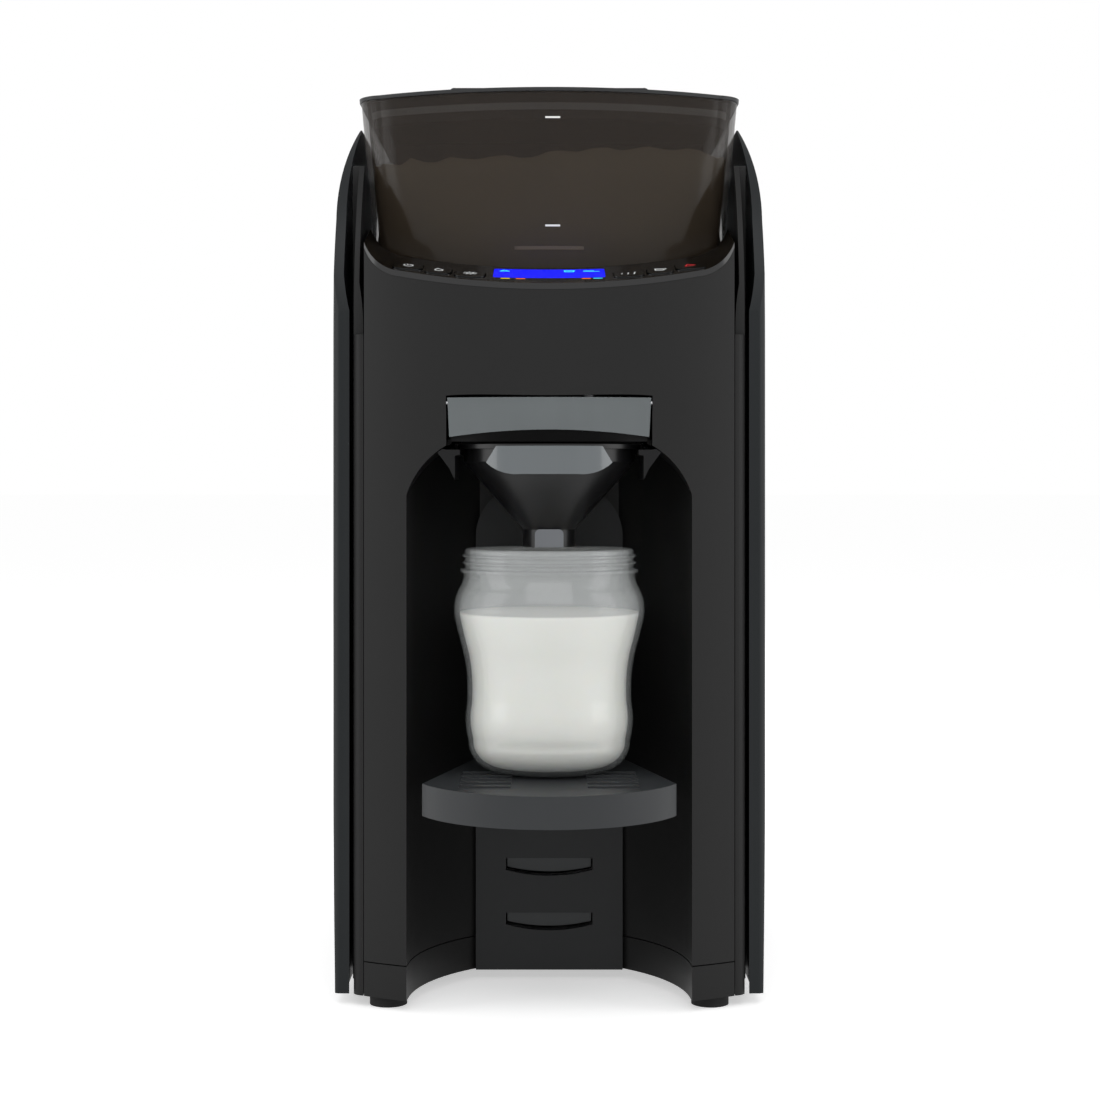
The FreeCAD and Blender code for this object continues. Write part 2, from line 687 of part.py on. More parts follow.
def lid_set():
    """The opaque lid: a flat plate with a raised middle, a skirt inside the clear wall, and a hinge barrel."""
    rim = at("hopper_rim")
    plate = tapered("lid_plate", rim + 0.1, rim + 1.6, -0.7)
    rise = prism(
        "lid_rise", "front", "-84", "40",
        (-43.0, rim + 1.5), ((-42.0, rim + 2.5), (-40.5, at("full_height"))),
        (40.5, at("full_height")), ((42.0, rim + 2.5), (43.0, rim + 1.5)),
    )
    skirt = cut("lid_skirt", tapered("skirt_outside", rim - 11.0, rim + 0.5, 4.6),
                tapered("skirt_inside", rim - 12.0, rim + 0.2, 6.8))
    barrel = rod("lid_barrel", ("-45.7", "hopper_rear + 4", "hopper_rim - 5"), "3.2", "91.4", "x")
    arm = block("lid_arm", ("-45.7", "hopper_rear + 0.5", "hopper_rim - 5"), ("91.4", "5", "5.8"))
    bore = rod("lid_bore", ("-60", "hopper_rear + 4", "hopper_rim - 5"), "1.8", "120", "x")
    seal = cut("lid_seal_solid", tapered("seal_outside", rim - 7.0, rim - 4.0, 4.3),
               tapered("seal_inside", rim - 8.0, rim - 3.0, 5.4))
    keep(seal, "lid_seal")
    rise_in_plate = common("lid_rise_trimmed", rise, tapered("rise_limit", rim + 1.0, rim + 4.0, 0.8))
    keep(cut("hopper_lid_solid", fuse("lid_body", plate, rise_in_plate, skirt, arm, barrel), bore, seal), "hopper_lid")


def wheel_and_stirrer():
    """The dosing wheel, whose holes measure the powder, and the stirrer keyed on its hub."""
    centre = Vector(0, -at("wheel_centre"), 0)
    body = doc.addObject("PartDesign::Body", "dosing_wheel_body")
    plan = [plane for plane in body.Origin.OriginFeatures if plane.Role == "XY_Plane"][0]

    def wheel_sketch(name, places, height):
        sketch = body.newObject("Sketcher::SketchObject", name)
        sketch.AttachmentSupport = [(plan, "")]
        sketch.MapMode = "FlatFace"
        sketch.AttachmentOffset = Placement(Vector(0, 0, height), Rotation())
        for number, (x, y, radius) in enumerate(places):
            sketch.addGeometry(Part.Circle(Vector(x, y, 0), Vector(0, 0, 1), radius), False)
        return sketch

    disc = body.newObject("PartDesign::Pad", "wheel_disc")
    disc.Profile = wheel_sketch("wheel_disc_sketch", [(0.0, 0.0, at("wheel_radius"))], 0.0)
    bind(disc, "Length", "wheel_thick")
    hub = body.newObject("PartDesign::Pad", "wheel_hub")
    hub.Profile = wheel_sketch("wheel_hub_sketch", [(0.0, 0.0, 8.9)], -3.0)
    bind(hub, "Length", "wheel_thick + 8")
    socket = body.newObject("PartDesign::Pocket", "wheel_socket")
    socket.Profile = wheel_sketch("wheel_socket_sketch", [(0.0, 0.0, 5.6)], -3.0)
    socket.Reversed = True
    bind(socket, "Length", "wheel_thick + 4")
    doc.recompute()
    dose = body.newObject("PartDesign::Pocket", "dose_hole")
    dose.Profile = wheel_sketch("dose_hole_sketch", [(0.0, at("outlet_front") - at("wheel_centre"), 5.2)], 0.0)
    dose.Reversed = True
    bind(dose, "Length", "wheel_thick + 1")
    holes = body.newObject("PartDesign::PolarPattern", "dose_hole_ring")
    holes.Originals = [dose]
    holes.Axis = ([axis for axis in body.Origin.OriginFeatures if axis.Role == "Z_Axis"][0], [""])
    holes.Angle = 360
    bind(holes, "Occurrences", "dose_holes")
    body.Tip = holes
    body.Placement = Placement(Vector(centre.x, centre.y, at("wheel_bottom")), Rotation())
    keep(body, "dosing_wheel")
    top = "wheel_bottom + wheel_thick + 5.2"
    hub_ring = rod("stirrer_hub", ("0", "-wheel_centre", top), "9", "16")
    arms = []
    for number in range(3):
        turn = 30.0 + 120.0 * number
        arm = rod("stirrer_arm_%d" % number, ("0", "-wheel_centre", top + " + 2.5"), "2.4", "51", "x")
        arm.Placement.Rotation = Rotation(Vector(0, 0, 1), turn) * ROD_TURNS["x"]
        arms.append(arm)
    keep(fuse("stirrer_solid", hub_ring, *arms), "stirrer")


hopper_set()
lid_set()
wheel_and_stirrer()


def oval(name, half, deep, height):
    """An oval in plan about the funnel's axis."""
    item = doc.addObject("Part::Ellipse", name)
    bind(item, "MajorRadius", half)
    bind(item, "MinorRadius", deep)
    bind_base(item, ("0", "-funnel_axis", height))
    return item


def oval_prism(name, half, deep, low, high):
    return carried(name, oval(name + "_outline", half, deep, low), Vector(0, 0, 1), "(%s) - (%s)" % (high, low))


def oval_cone(name, inset, top, bottom):
    item = doc.addObject("Part::Loft", name)
    item.Sections = [
        oval(name + "_mouth", "funnel_half - %s" % inset, "funnel_deep - %s" % inset, top),
        oval(name + "_neck", "neck_radius + 0.001 - %s" % inset, "neck_radius - %s" % inset, bottom),
    ]
    item.Solid = True
    return item


def funnel_set():
    """The oval funnel that slides out forwards, its light grip and spout insert, and its two rails."""
    outside = fuse(
        "funnel_outside", oval_cone("funnel_cone", "0", "funnel_band", "funnel_neck"),
        oval_prism("funnel_wall", "funnel_half", "funnel_deep", "funnel_band", "funnel_top"),
        oval_prism("funnel_tube", "neck_radius + 0.001", "neck_radius", "funnel_end", "funnel_neck"),
        oval_prism("funnel_rim", "funnel_flange", "funnel_deep + 1", "funnel_top - 1.8", "funnel_top"),
    )
    inside = fuse(
        "funnel_inside", oval_cone("funnel_hollow", "2", "funnel_band", "funnel_neck"),
        oval_prism("funnel_mouth", "funnel_half - 2", "funnel_deep - 2", "funnel_band", "funnel_top + 1"),
        oval_prism("funnel_bore", "neck_radius - 1.999", "neck_radius - 2", "funnel_end - 1", "funnel_neck"),
    )
    insert_shape = prism(
        "spout_view", "front", "-funnel_axis - neck_radius - 0.8", "-funnel_axis - neck_radius + 1.2",
        (-6.0, 195.0), (-6.0, 200.6), ((-5.4, 202.0), (-4.2, 202.6)), (4.2, 202.6),
        ((5.4, 202.0), (6.0, 200.6)), (6.0, 195.0),
    )
    keep(cut("funnel_solid", outside, inside, prism(
        "spout_seat", "front", "-funnel_axis - neck_radius - 2", "-funnel_axis - neck_radius + 1.2",
        (-6.0, 194.0), (-6.0, 200.6), ((-5.4, 202.0), (-4.2, 202.6)), (4.2, 202.6),
        ((5.4, 202.0), (6.0, 200.6)), (6.0, 194.0),
    )), "funnel")
    keep(insert_shape, "funnel_spout")
    grip_view = prism(
        "grip_view", "front", "-funnel_axis - funnel_deep - 6", "-funnel_axis - 10",
        (-22.0, 237.4), (-26.2, 230.6), ((-20.5, 227.0), (-12.0, 225.8)), (12.0, 225.8),
        ((20.5, 227.0), (26.2, 230.6)), (22.0, 237.4),
    )
    grip = cut(
        "funnel_grip_solid",
        common("grip_blank", grip_view, oval_prism("grip_oval", "funnel_half + 1.6", "funnel_deep + 1.8", "220", "funnel_top")),
        fuse("grip_inner", oval_cone("grip_cone", "0", "funnel_band", "funnel_neck"),
             oval_prism("grip_wall", "funnel_half", "funnel_deep", "funnel_band", "funnel_top + 1"),
             oval_prism("grip_rim", "funnel_flange", "funnel_deep + 1", "funnel_top - 1.8", "funnel_top + 1")),
    )
    keep(grip, "funnel_grip")
    rail = prism(
        "rail", "front", "-116", "-76",
        (37.2, 235.9), (42.5, 235.9), (44.5, 236.2), (46.5, 234.8), (41.5, 228.0), (39.3, 223.5), (39.3, 233.4),
        (37.2, 233.9),
    )
    keep(group("rail_pair", rail, mirrored("other_rail", rail)), "funnel_rails")


def hood_and_cover():
    """The crowned hood over the funnel, the powder chute into it, the nozzle, and the clear hinged cover."""
    def crown(name, low, drop, front, rear, half):
        return prism(
            name, "front", front, rear,
            (-half, low), (-half, 243.0 - drop), ((-29.0, 247.2 - drop), (-16.3, 248.9 - drop)),
            ((0.0, 251.0 - drop), (16.3, 248.9 - drop)), ((29.0, 247.2 - drop), (half, 243.0 - drop)), (half, low),
        )
    hood = cut(
        "chute_hood_solid", crown("hood_outside", 239.4, 0.0, "-112", "-60.4", 41.0),
        crown("hood_inside", 238.0, 2.2, "-109.8", "-62.6", 38.8),
        rod("hood_chute_hole", ("0", "-outlet_front", "236"), "outlet_radius + 2.1", "20"),
        rod("hood_nozzle_hole", ("17", "-98", "236"), "3.1", "20"),
    )
    keep(hood, "chute_hood")
    chute = ring("powder_chute_tube", "-outlet_front", "outlet_radius + 2", "outlet_radius", "244", "59.9")
    keep(chute, "powder_chute")
    keep(cut("nozzle_tube", rod("nozzle_outside", ("17", "-98", "242"), "3", "20"),
             rod("nozzle_bore", ("17", "-98", "241"), "1.6", "15")), "water_nozzle")
    low, top, half = at("cover_bottom"), at("cover_top"), at("cover_half")
    view = prism(
        "cover_view", "front", "-face_front - 1", "-face_front + 14",
        (-half, top), (-half + 0.8, low), ((0.0, low + 3.0), (half - 0.8, low)), (half, top),
    )
    visor = cut("cover_curve", common("cover_blank", view, face_block("cover_outer", 0.2)),
                face_block("cover_inner", 2.6))
    barrel = rod("cover_barrel", ("-cover_half + 0.3", "-face_front + 8", "cover_top - 2.1"), "2", "2*cover_half - 0.6", "x")
    arm = prism(
        "cover_arm", "side", "-cover_half + 0.3", "cover_half - 0.3",
        (-at("face_front") + 0.9, top - 2.4), (-at("face_front") + 0.9, top - 0.2), (-at("face_front") + 8.0, top - 0.2),
        (-at("face_front") + 8.0, top - 2.4),
    )
    arm_fit = common("cover_arm_fit", arm, face_block("cover_arm_limit", 0.2))
    bore = rod("cover_bore", ("-60", "-face_front + 8", "cover_top - 2.1"), "0.95", "120", "x")
    keep(cut("funnel_cover_solid", fuse("cover_body", visor, barrel, arm_fit), bore), "funnel_cover")
    keep(rod("cover_pin_rod", ("-cover_half - 2.6", "-face_front + 8", "cover_top - 2.1"), "0.9", "2*cover_half + 5.2", "x"),
         "cover_hinge_pin")


def stand():
    """The half-round bottle stand, hollow underneath, with ribs on top and a tongue for the column's slots."""
    half, wide, reach = at("stand_half"), -at("stand_wide_at"), -at("front_reach")
    column = -at("recess_back") - at("column_proud") - 0.3
    root = at("column_half")

    def plan(name, low, high, inset):
        return prism(
            name, "plan", low, high,
            (-root + inset, column - inset), (-half + inset, wide),
            ((0.0, reach + inset), (half - inset, wide)), (root - inset, column - inset),
        )
    top = "stand_top - 0.7"
    deck = plan("stand_outside", "stand_top - stand_thick", top, 0.0)
    hollow = plan("stand_hollow", "stand_top - stand_thick - 1", "stand_top - 3.4", 2.6)
    back = prism(
        "stand_back", "side", "-column_half + 0.6", "column_half - 0.6",
        (column, 99.0), (column, 107.0), (column - 1.6, 107.0), ((column - 4.6, 101.6), (column - 9.0, 99.3)),
        (column - 9.0, 99.0),
    )
    tongue = block("stand_tongue", ("-slot_half/2", "-recess_back - column_proud - 1", "slot_low + 3*slot_pitch - 3"),
                   ("slot_half", "11.5", "6.2"))
    ribs = [
        block("rib_%d_%d" % (number, side), ("26*%d - 10.5" % side, str(-142.6 + 10.3 * number), "stand_top - 1"),
              ("21", "1.8", "1"))
        for number in range(5) for side in (-1, 1)
    ]
    keep(fuse("bottle_stand_solid", cut("stand_shell", deck, hollow), back, tongue, *ribs), "bottle_stand")


def bottle():
    """The wide-neck bottle: one blown wall with a waist, shoulders, a neck flange and thread segments."""
    base = at("bottle_base")

    def outline(points):
        return [
            ((step[0][0], base + step[0][1]), (step[1][0], base + step[1][1]))
            if isinstance(step[0], tuple) else (step[0], base + step[1])
            for step in points
        ]
    outer = outline([
        (0.0, 0.0), (22.0, 0.0), ((30.6, 3.4), (34.4, 12.6)), ((35.5, 18.5), (35.1, 28.3)),
        ((34.9, 37.0), (36.3, 49.0)), ((38.7, 58.2), (40.2, 64.4)), ((40.4, 71.0), (38.6, 76.9)),
        ((37.3, 79.3), (36.5, 82.0)), (36.5, 84.0), (37.7, 84.2), (37.7, 85.4), (35.9, 86.0), (35.9, 93.4),
        ((35.4, 93.9), (34.8, 94.1)), (33.9, 93.4), (33.9, 82.5),
        ((35.0, 79.0), (36.4, 76.3)), ((38.2, 71.0), (38.0, 64.8)), ((36.7, 58.8), (34.3, 49.4)),
        ((32.9, 37.0), (33.1, 28.0)), ((33.5, 19.0), (32.5, 13.4)), ((29.3, 5.0), (21.4, 2.0)), (0.0, 2.0),
    ])
    wall = turned("bottle_wall", (0.0, -at("funnel_axis")), outer[0], *outer[1:])
    threads = []
    for number in range(2):
        thread = turned(
            "bottle_thread_%d" % number, (0.0, -at("funnel_axis")),
            (35.6, base + 87.2 + 3.0 * number), (37.0, base + 87.9 + 3.0 * number),
            (37.0, base + 88.4 + 3.0 * number), (35.6, base + 89.1 + 3.0 * number),
        )
        threads.append(thread)
    keep(fuse("bottle_solid", wall, *threads), "bottle")


funnel_set()
hood_and_cover()
stand()
bottle()


def gear(label, place, teeth, bore, low, tall):
    """A spur gear with straight-sided teeth, one tooth per pitch."""
    module = at("gear_module")
    pitch, root, tip = module * teeth / 2, module * teeth / 2 - 1.2 * module, module * teeth / 2 + 0.8 * module
    sketch_points = []
    for number in range(teeth):
        for radius, share in ((root, -0.30), (tip, -0.11), (tip, 0.11), (root, 0.30)):
            turn = 2 * math.pi * (number + share) / teeth
            sketch_points.append((radius * math.cos(turn), radius * math.sin(turn)))
    sketch = flat_sketch(label + "_outline", "plan", sketch_points[0], sketch_points[1:])
    sketch.Placement.Base = Vector(place[0], place[1], low)
    blank = carried(label + "_blank", sketch, Vector(0, 0, 1), str(tall))
    hole = rod(label + "_bore", (str(place[0]), str(place[1]), str(low - 1)), str(bore), str(tall + 2))
    return cut(label + "_solid", blank, hole), pitch


def drive():
    """The geared drive under the hopper: motor, pinion, large gear and the coupling that turns the wheel."""
    axis = (0.0, -at("wheel_centre"))
    wheel, wheel_pitch = gear("drive_gear", axis, int(at("gear_teeth")), 4.0, 284.0, 8.0)
    turn_in = 180.0 / at("pinion_teeth")
    motor_y = axis[1] + wheel_pitch + at("gear_module") * at("pinion_teeth") / 2 + 0.5
    pinion, _ = gear("pinion", (0.0, 0.0), int(at("pinion_teeth")), 3.0, 282.0, 12.0)
    pinion.Placement = Placement(Vector(0, motor_y, 0), Rotation(Vector(0, 0, 1), turn_in + 180.0 / at("gear_teeth") - 5.0))
    keep(wheel, "drive_gear")
    keep(pinion, "motor_pinion")
    shaft = fuse(
        "coupling_solid", rod("coupling_shaft", ("0", "-wheel_centre", "279"), "4", "34"),
        rod("coupling_head", ("0", "-wheel_centre", "306"), "5.1", "14"),
        block("coupling_key", ("-6.6", "-wheel_centre - 1", "299.2"), ("13.2", "2", "2")),
        rod("coupling_collar", ("0", "-wheel_centre", "299.4"), "7.4", "2.5"),
    )
    keep(cut("coupling_cut", shaft, rod("coupling_dimple", ("0", "-wheel_centre", "318"), "2.5", "3")), "drive_coupling")
    motor = str(motor_y)
    case = fuse(
        "motor_case", rod("motor_can", ("0", motor, "212"), "18", "46"), rod("motor_gearbox", ("0", motor, "258"), "20", "16"),
        block("motor_terminal_left", ("-10", motor, "207"), ("3", "1", "6")),
        block("motor_terminal_right", ("7", motor, "207"), ("3", "1", "6")),
    )
    keep(fuse("gear_motor_solid", case, rod("motor_shaft", ("0", motor, "274"), "2.98", "22")), "gear_motor")
    plate = block("bracket_plate", ("-44", "-48", "274.2"), ("88", "100", "2.6"))
    posts = [
        rod("bracket_post_%d" % number, (side, place, "276"), "4", "27.9")
        for number, (side, place) in enumerate((("-40", "-44"), ("40", "-44"), ("-40", "48"), ("40", "48")))
    ]
    bearing = rod("bracket_boss", ("0", "-wheel_centre", "272"), "7", "8")
    keep(cut("motor_bracket_solid", fuse("bracket_body", plate, bearing, *posts),
             rod("bracket_motor_hole", ("0", motor, "270"), "5", "12"),
             rod("bracket_shaft_hole", ("0", "-wheel_centre", "278"), "4.1", "12")), "motor_bracket")
    deck = cut(
        "top_deck_solid", common("deck_blank", tapered("deck_outline", 303.9, 307.9, -4.0), block(
            "deck_limit", ("-half_width", "-outlet_front - 13", "300"), ("2*half_width", "200", "20"))),
        rod("deck_axle_hole", ("0", "-wheel_centre", "300"), "9", "20"),
        rod("deck_outlet_hole", ("0", "-outlet_front", "300"), "outlet_radius", "20"),
    )
    keep(deck, "hopper_deck")


def frame():
    """Two inner side frames that tie the base, the deck and the wall in front of the water tank together."""
    side = prism(
        "side_frame", "side", "62", "64.6",
        (-46.0, 8.1), (58.0, 8.1), (58.0, 303.8), (-46.0, 303.8),
    )
    windows = [
        block("frame_window_%d" % number, ("55", "-34", str(24 + 70 * number)), ("20", "80", "54"))
        for number in range(4)
    ]
    frame_side = cut("right_frame", side, *windows)
    keep(group("frame_pair", frame_side, mirrored("left_frame", frame_side)), "inner_frames")
    wall = prism(
        "spine", "front", "tank_front - 7", "tank_front - 4",
        (-86.4, 8.1), (-87.6, 200.0), (-86.6, 340.0), (-82.6, 372.0), (82.6, 372.0), (86.6, 340.0), (87.6, 200.0),
        (86.4, 8.1),
    )
    hose_holes = block("spine_hose_hole", ("-20", "50", "30"), ("40", "20", "45"))
    keep(cut("spine_wall_solid", wall, hose_holes), "tower_back_wall")


def tank_plan(name, low, high, inset):
    """The tank's plan, with rounded corners, carried between two heights."""
    half = at("tank_half") - inset
    front, rear = at("tank_front") + inset, at("tank_rear") - inset
    small, large = 8.0 - inset, 26.0 - inset
    slight, wide = small * (1 - math.sqrt(0.5)), large * (1 - math.sqrt(0.5))
    return prism(
        name, "plan", low, high,
        (-half + small, front), (half - small, front), ((half - slight, front + slight), (half, front + small)),
        (half, rear - large), ((half - wide, rear - wide), (half - large, rear)),
        (-half + large, rear), ((-half + wide, rear - wide), (-half, rear - large)),
        (-half, front + small), ((-half + slight, front + slight), (-half + small, front)),
    )


def coil_spring(foot, radius, pitch, turns, wire):
    """A spring as one round wire along a helix of biarcs, two arcs to each quarter turn."""
    rise = pitch / (2 * math.pi * radius)
    edges = []
    steps = int(4 * turns)

    def on_helix(step):
        angle = step * math.pi / 2
        point = foot + Vector(radius * math.cos(angle), radius * math.sin(angle), step * pitch / 4)
        heading = Vector(-math.sin(angle), math.cos(angle), rise)
        return point, heading.normalize()

    def arc(start, heading, end):
        chord = end - start
        bend = heading.getAngle(chord)
        corner = start + heading * (chord.Length / 2 / math.cos(bend))
        middle = (start + end) * 0.5
        return Part.Arc(start, middle + (corner - middle) * (math.tan(bend / 2) / math.tan(bend)), end).toShape()

    for step in range(steps):
        start, first = on_helix(step)
        end, last = on_helix(step + 1)
        span = end - start
        along = span.dot(first + last)
        turn = 2 * (1 - first.dot(last))
        reach = (-along + math.sqrt(along * along + turn * span.dot(span))) / turn
        join = (start + first * reach + end - last * reach) * 0.5
        edges.append(arc(start, first, join))
        edges.append(arc(join, (end - last * reach - join).normalize(), end))
    start, heading = on_helix(0)
    profile = Part.Wire(Part.makeCircle(wire, start, heading))
    return Part.Wire(edges).makePipeShell([profile], True)


def tank_set():
    """The clear water tank, its hinged lid and pin, the sprung valve in its floor, and the tray under it."""
    valve = ("0", "valve_back", "tank_floor - 1")
    walls = cut("tank_walls", tank_plan("tank_outside", "tank_floor", "tank_rim", 0.0),
                tank_plan("tank_inside", "tank_floor + 3", "tank_rim + 1", at("wall")))
    seat = rod("tank_valve_seat", ("0", "valve_back", "tank_floor"), "12", "6")
    hinge = [block("tank_ear_%d" % number, (side, "tank_front + 1", "tank_rim - 4"), ("6", "10", "8.3"))
             for number, side in enumerate(("-50", "44"))]
    pin = rod("tank_pin", ("-50", "tank_front + 7", "tank_rim + 1"), "1.7", "100", "x")
    cage = cut("valve_cage_ring", rod("cage_out", ("0", "valve_back", "tank_floor + 16"), "11", "2"),
               rod("cage_hole", ("0", "valve_back", "tank_floor + 15"), "3", "4"))
    legs = [block("cage_leg_%d" % number, (side, "valve_back - 2", "tank_floor + 5"), ("1.6", "4", "12"))
            for number, side in enumerate(("-11.2", "9.6"))]
    ledge = cut(
        "tank_ledge",
        common("tank_ledge_strip", tank_plan("tank_ledge_plan", "tank_rim - 1", "tank_rim + 2.4", 0.3),
               block("ledge_limit", ("-half_width", "tank_front", "tank_rim - 2"), ("2*half_width", "5.3", "6"))),
        block("ledge_gap", ("-51", "tank_front - 1", "tank_rim - 2"), ("102", "8", "6")),
    )
    keep(cut("water_tank_solid", fuse("tank_body", walls, seat, pin, cage, ledge, *legs, *hinge),
             rod("tank_valve_bore", valve, "5.4", "10")), "water_tank")
    plate = tank_plan("tank_lid_plate", "tank_rim + 0.2", "tank_rim + 2.4", 0.3)
    notch = fuse(
        "tank_lid_notch", block("ear_notch", ("-50.6", "tank_front - 1", "tank_rim - 1"), ("101.2", "14", "9")),
        block("ledge_notch", ("-half_width", "tank_front - 1", "tank_rim - 1"), ("2*half_width", "7.7", "9")),
    )
    spine = block("tank_lid_arm", ("-43.7", "tank_front + 6", "tank_rim - 0.8"), ("87.4", "8", "3.2"))
    barrel = rod("tank_lid_barrel", ("-43.7", "tank_front + 7", "tank_rim + 1"), "3.2", "87.4", "x")
    pull = block("tank_lid_pull", ("-16", "tank_rear - 7", "tank_rim + 2"), ("32", "6", "3.4"))
    keep(cut("tank_lid_solid", fuse("tank_lid_body", cut("tank_lid_cut", plate, notch), spine, barrel, pull),
             rod("tank_lid_bore", ("-60", "tank_front + 7", "tank_rim + 1"), "1.8", "120", "x")), "tank_lid")
    poppet = fuse(
        "valve_solid", rod("valve_disc", ("0", "valve_back", "tank_floor + 7.6"), "9", "2.4"),
        rod("valve_stem", ("0", "valve_back", "tank_floor + 1"), "2.4", "8"),
    )
    keep(poppet, "tank_valve")
    keep(ring("valve_seal_ring", "valve_back", "8.6", "5.6", "tank_floor + 6.05", "1.5"), "valve_seal")
    spring = doc.addObject("Part::Feature", "spring")
    spring.Shape = coil_spring(Vector(0, at("valve_back"), at("tank_floor") + 10.3), 5.0, 1.5, 3.5, 0.3)
    keep(spring, "valve_spring")
    tray = common("tray_blank", inner_casing, block(
        "tray_slab", ("-half_width", "tank_front - 3.9", "tray_top - 3"), ("2*half_width", "100", "3")))
    socket = rod("tray_socket", ("0", "valve_back", "tray_top - 12"), "10", "11.9")
    keep(cut("tank_tray_solid", fuse("tray_body", tray, socket),
             rod("tray_bore", ("0", "valve_back", "tray_top - 9"), "6.5", "20")), "tank_tray")


def plumbing():
    """Pump, heater and the hoses between the tank's socket, the pump, the heater and the nozzle."""
    pump_body = fuse("pump_solid", rod("pump_can", ("-25", "98", "14"), "17", "30"), rod("pump_head", ("-25", "98", "44"), "13", "10"),
                     rod("pump_port_out", ("-25", "98", "54"), "3", "6"), block("pump_foot", ("-46", "88", "8.1"), ("42", "20", "6")),
                     rod("pump_port_in", ("-14", "98", "48"), "3", "9", "x"))
    keep(pump_body, "water_pump")
    keep(fuse("heater_solid", rod("heater_tube", ("30", "20", "60"), "21", "110"), rod("heater_inlet", ("30", "20", "54"), "3", "6"),
              rod("heater_outlet", ("30", "20", "170"), "3", "7"), block("heater_lug", ("46", "17", "100"), ("15.9", "6", "20"))),
         "water_heater")
    keep(hose("tank_hose", [(0, 112, 83), (0, 112, 66), (0, 98, 48), (-5, 98, 48)], 3.5, 3.0), "tank_hose")
    keep(hose("pump_hose", [(-25, 98, 60), (-25, 98, 70), (-10, 64, 55), (10, 40, 42), (30, 20, 42), (30, 20, 54)], 6.0, 3.0),
         "pump_hose")
    keep(hose("nozzle_hose", [(30, 20, 177), (30, 20, 200), (30, -22, 262), (28, -40, 266), (17, -98, 275), (17, -98, 262)], 7.0, 2.6),
         "nozzle_hose")


def hose(name, route, bend, radius):
    """A rubber hose along straight runs joined by arcs."""
    points = [Vector(*point) for point in route]
    edges = []
    here = points[0]
    for before, corner, after in zip(points, points[1:], points[2:]):
        inward, outward = (before - corner).normalize(), (after - corner).normalize()
        half_turn = (math.pi - inward.getAngle(outward)) / 2
        back = bend * math.tan(half_turn)
        start, end = corner + inward * back, corner + outward * back
        middle = (inward + outward).normalize()
        centre = corner + middle * (bend / math.cos(half_turn))
        edges.append(Part.makeLine(here, start))
        edges.append(Part.Arc(start, centre - middle * bend, end).toShape())
        here = end
    edges.append(Part.makeLine(here, points[-1]))
    path = Part.Wire(edges)
    direction = (points[1] - points[0]).normalize()
    profile = Part.Wire(Part.makeCircle(radius, points[0], direction))
    item = doc.addObject("Part::Feature", name)
    item.Shape = path.makePipeShell([profile], True, False)
    return item


def electrics():
    """Power board on its posts, rocker switch with its frame, cord gland, and the screws of the rear cover."""
    board = fuse(
        "power_board_solid", block("power_board_sheet", ("8", "84", "16"), ("60", "40", "1.6")),
        block("transformer", ("14", "92", "17.5"), ("22", "24", "20")), rod("capacitor_one", ("48", "94", "17.5"), "5", "16"),
        rod("capacitor_two", ("60", "94", "17.5"), "4", "12"), block("relay", ("42", "108", "17.5"), ("16", "12", "10")),
        *[rod("board_post_%d" % number, (x, y, "8.1"), "2.5", "8")
          for number, (x, y) in enumerate((("12", "88"), ("64", "88"), ("12", "120"), ("64", "120")))]
    )
    keep(board, "power_board")
    housing = cut("switch_frame_solid", fuse("switch_frame_body", block("switch_box", ("38.6", "rear_reach - 16", "22.6"), ("20.8", "17.2", "14.8")),
                  block("switch_flange", ("36.6", "rear_reach", "20.6"), ("24.8", "1.2", "18.8"))),
                  block("switch_well", ("39.6", "rear_reach - 12", "24.4"), ("18.8", "14", "11.2")),
                  rod("journal_hole", ("49", "159", "23"), "1.17", "14"))
    keep(housing, "switch_housing")
    rocker = prism(
        "rocker_body", "plan", "25.1", "34.9",
        (41.4, 163.2), ((49.0, 162.0), (56.6, 164.8)), (55.4, 158.6), ((49.0, 155.4), (42.6, 157.4)),
    )
    keep(fuse("rocker_solid", rocker, rod("rocker_pin", ("49", "159", "23.3"), "1.1", "13.4")), "power_switch")
    gland = cut("gland_solid", fuse("gland_body", rod("gland_sleeve", ("-52", "rear_reach - 8", "30"), "6", "8", "y"),
                rod("gland_flange", ("-52", "rear_reach - 8.5", "30"), "8.5", "4", "y")),
                rod("gland_bore", ("-52", "rear_reach - 12", "30"), "3.5", "16", "y"))
    keep(gland, "cord_gland")
    screws = [
        fuse("rear_screw_%d" % number, rod("rear_head_%d" % number, (x, "rear_reach - 2", z), "3", "1.9", "y"),
             rod("rear_shank_%d" % number, (x, "rear_reach - 14", z), "1.6", "13", "y"))
        for number, (x, z) in enumerate(REAR_SCREW_PLACES)
    ]
    keep(group("screw_set", *foot_screws, *screws), "casing_screws")


drive()
frame()
tank_set()
plumbing()
electrics()




def write_pieces():
    """Checks every object of the document, then writes each piece under its own name."""
    doc.recompute()
    for item in doc.Objects:
        if "Invalid" in item.State or "Error" in item.State:
            raise RuntimeError("%s did not compute: %s" % (item.Name, item.State))
    for item in pieces:
        shape = item.Shape
        if shape.isNull() or not shape.isValid() or not shape.Solids:
            raise RuntimeError("%s has no valid solid" % item.Label)
        shape.exportStep("parts/%s.step" % item.Label)
        box = shape.BoundBox
        print("%-22s %2d solid(s) x %.1f..%.1f y %.1f..%.1f z %.1f..%.1f volume %.0f" % (
            item.Label, len(shape.Solids), box.XMin, box.XMax, box.YMin, box.YMax,
            box.ZMin, box.ZMax, shape.Volume,
        ))
    print("%d pieces" % len(pieces))


write_pieces()
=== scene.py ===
import math

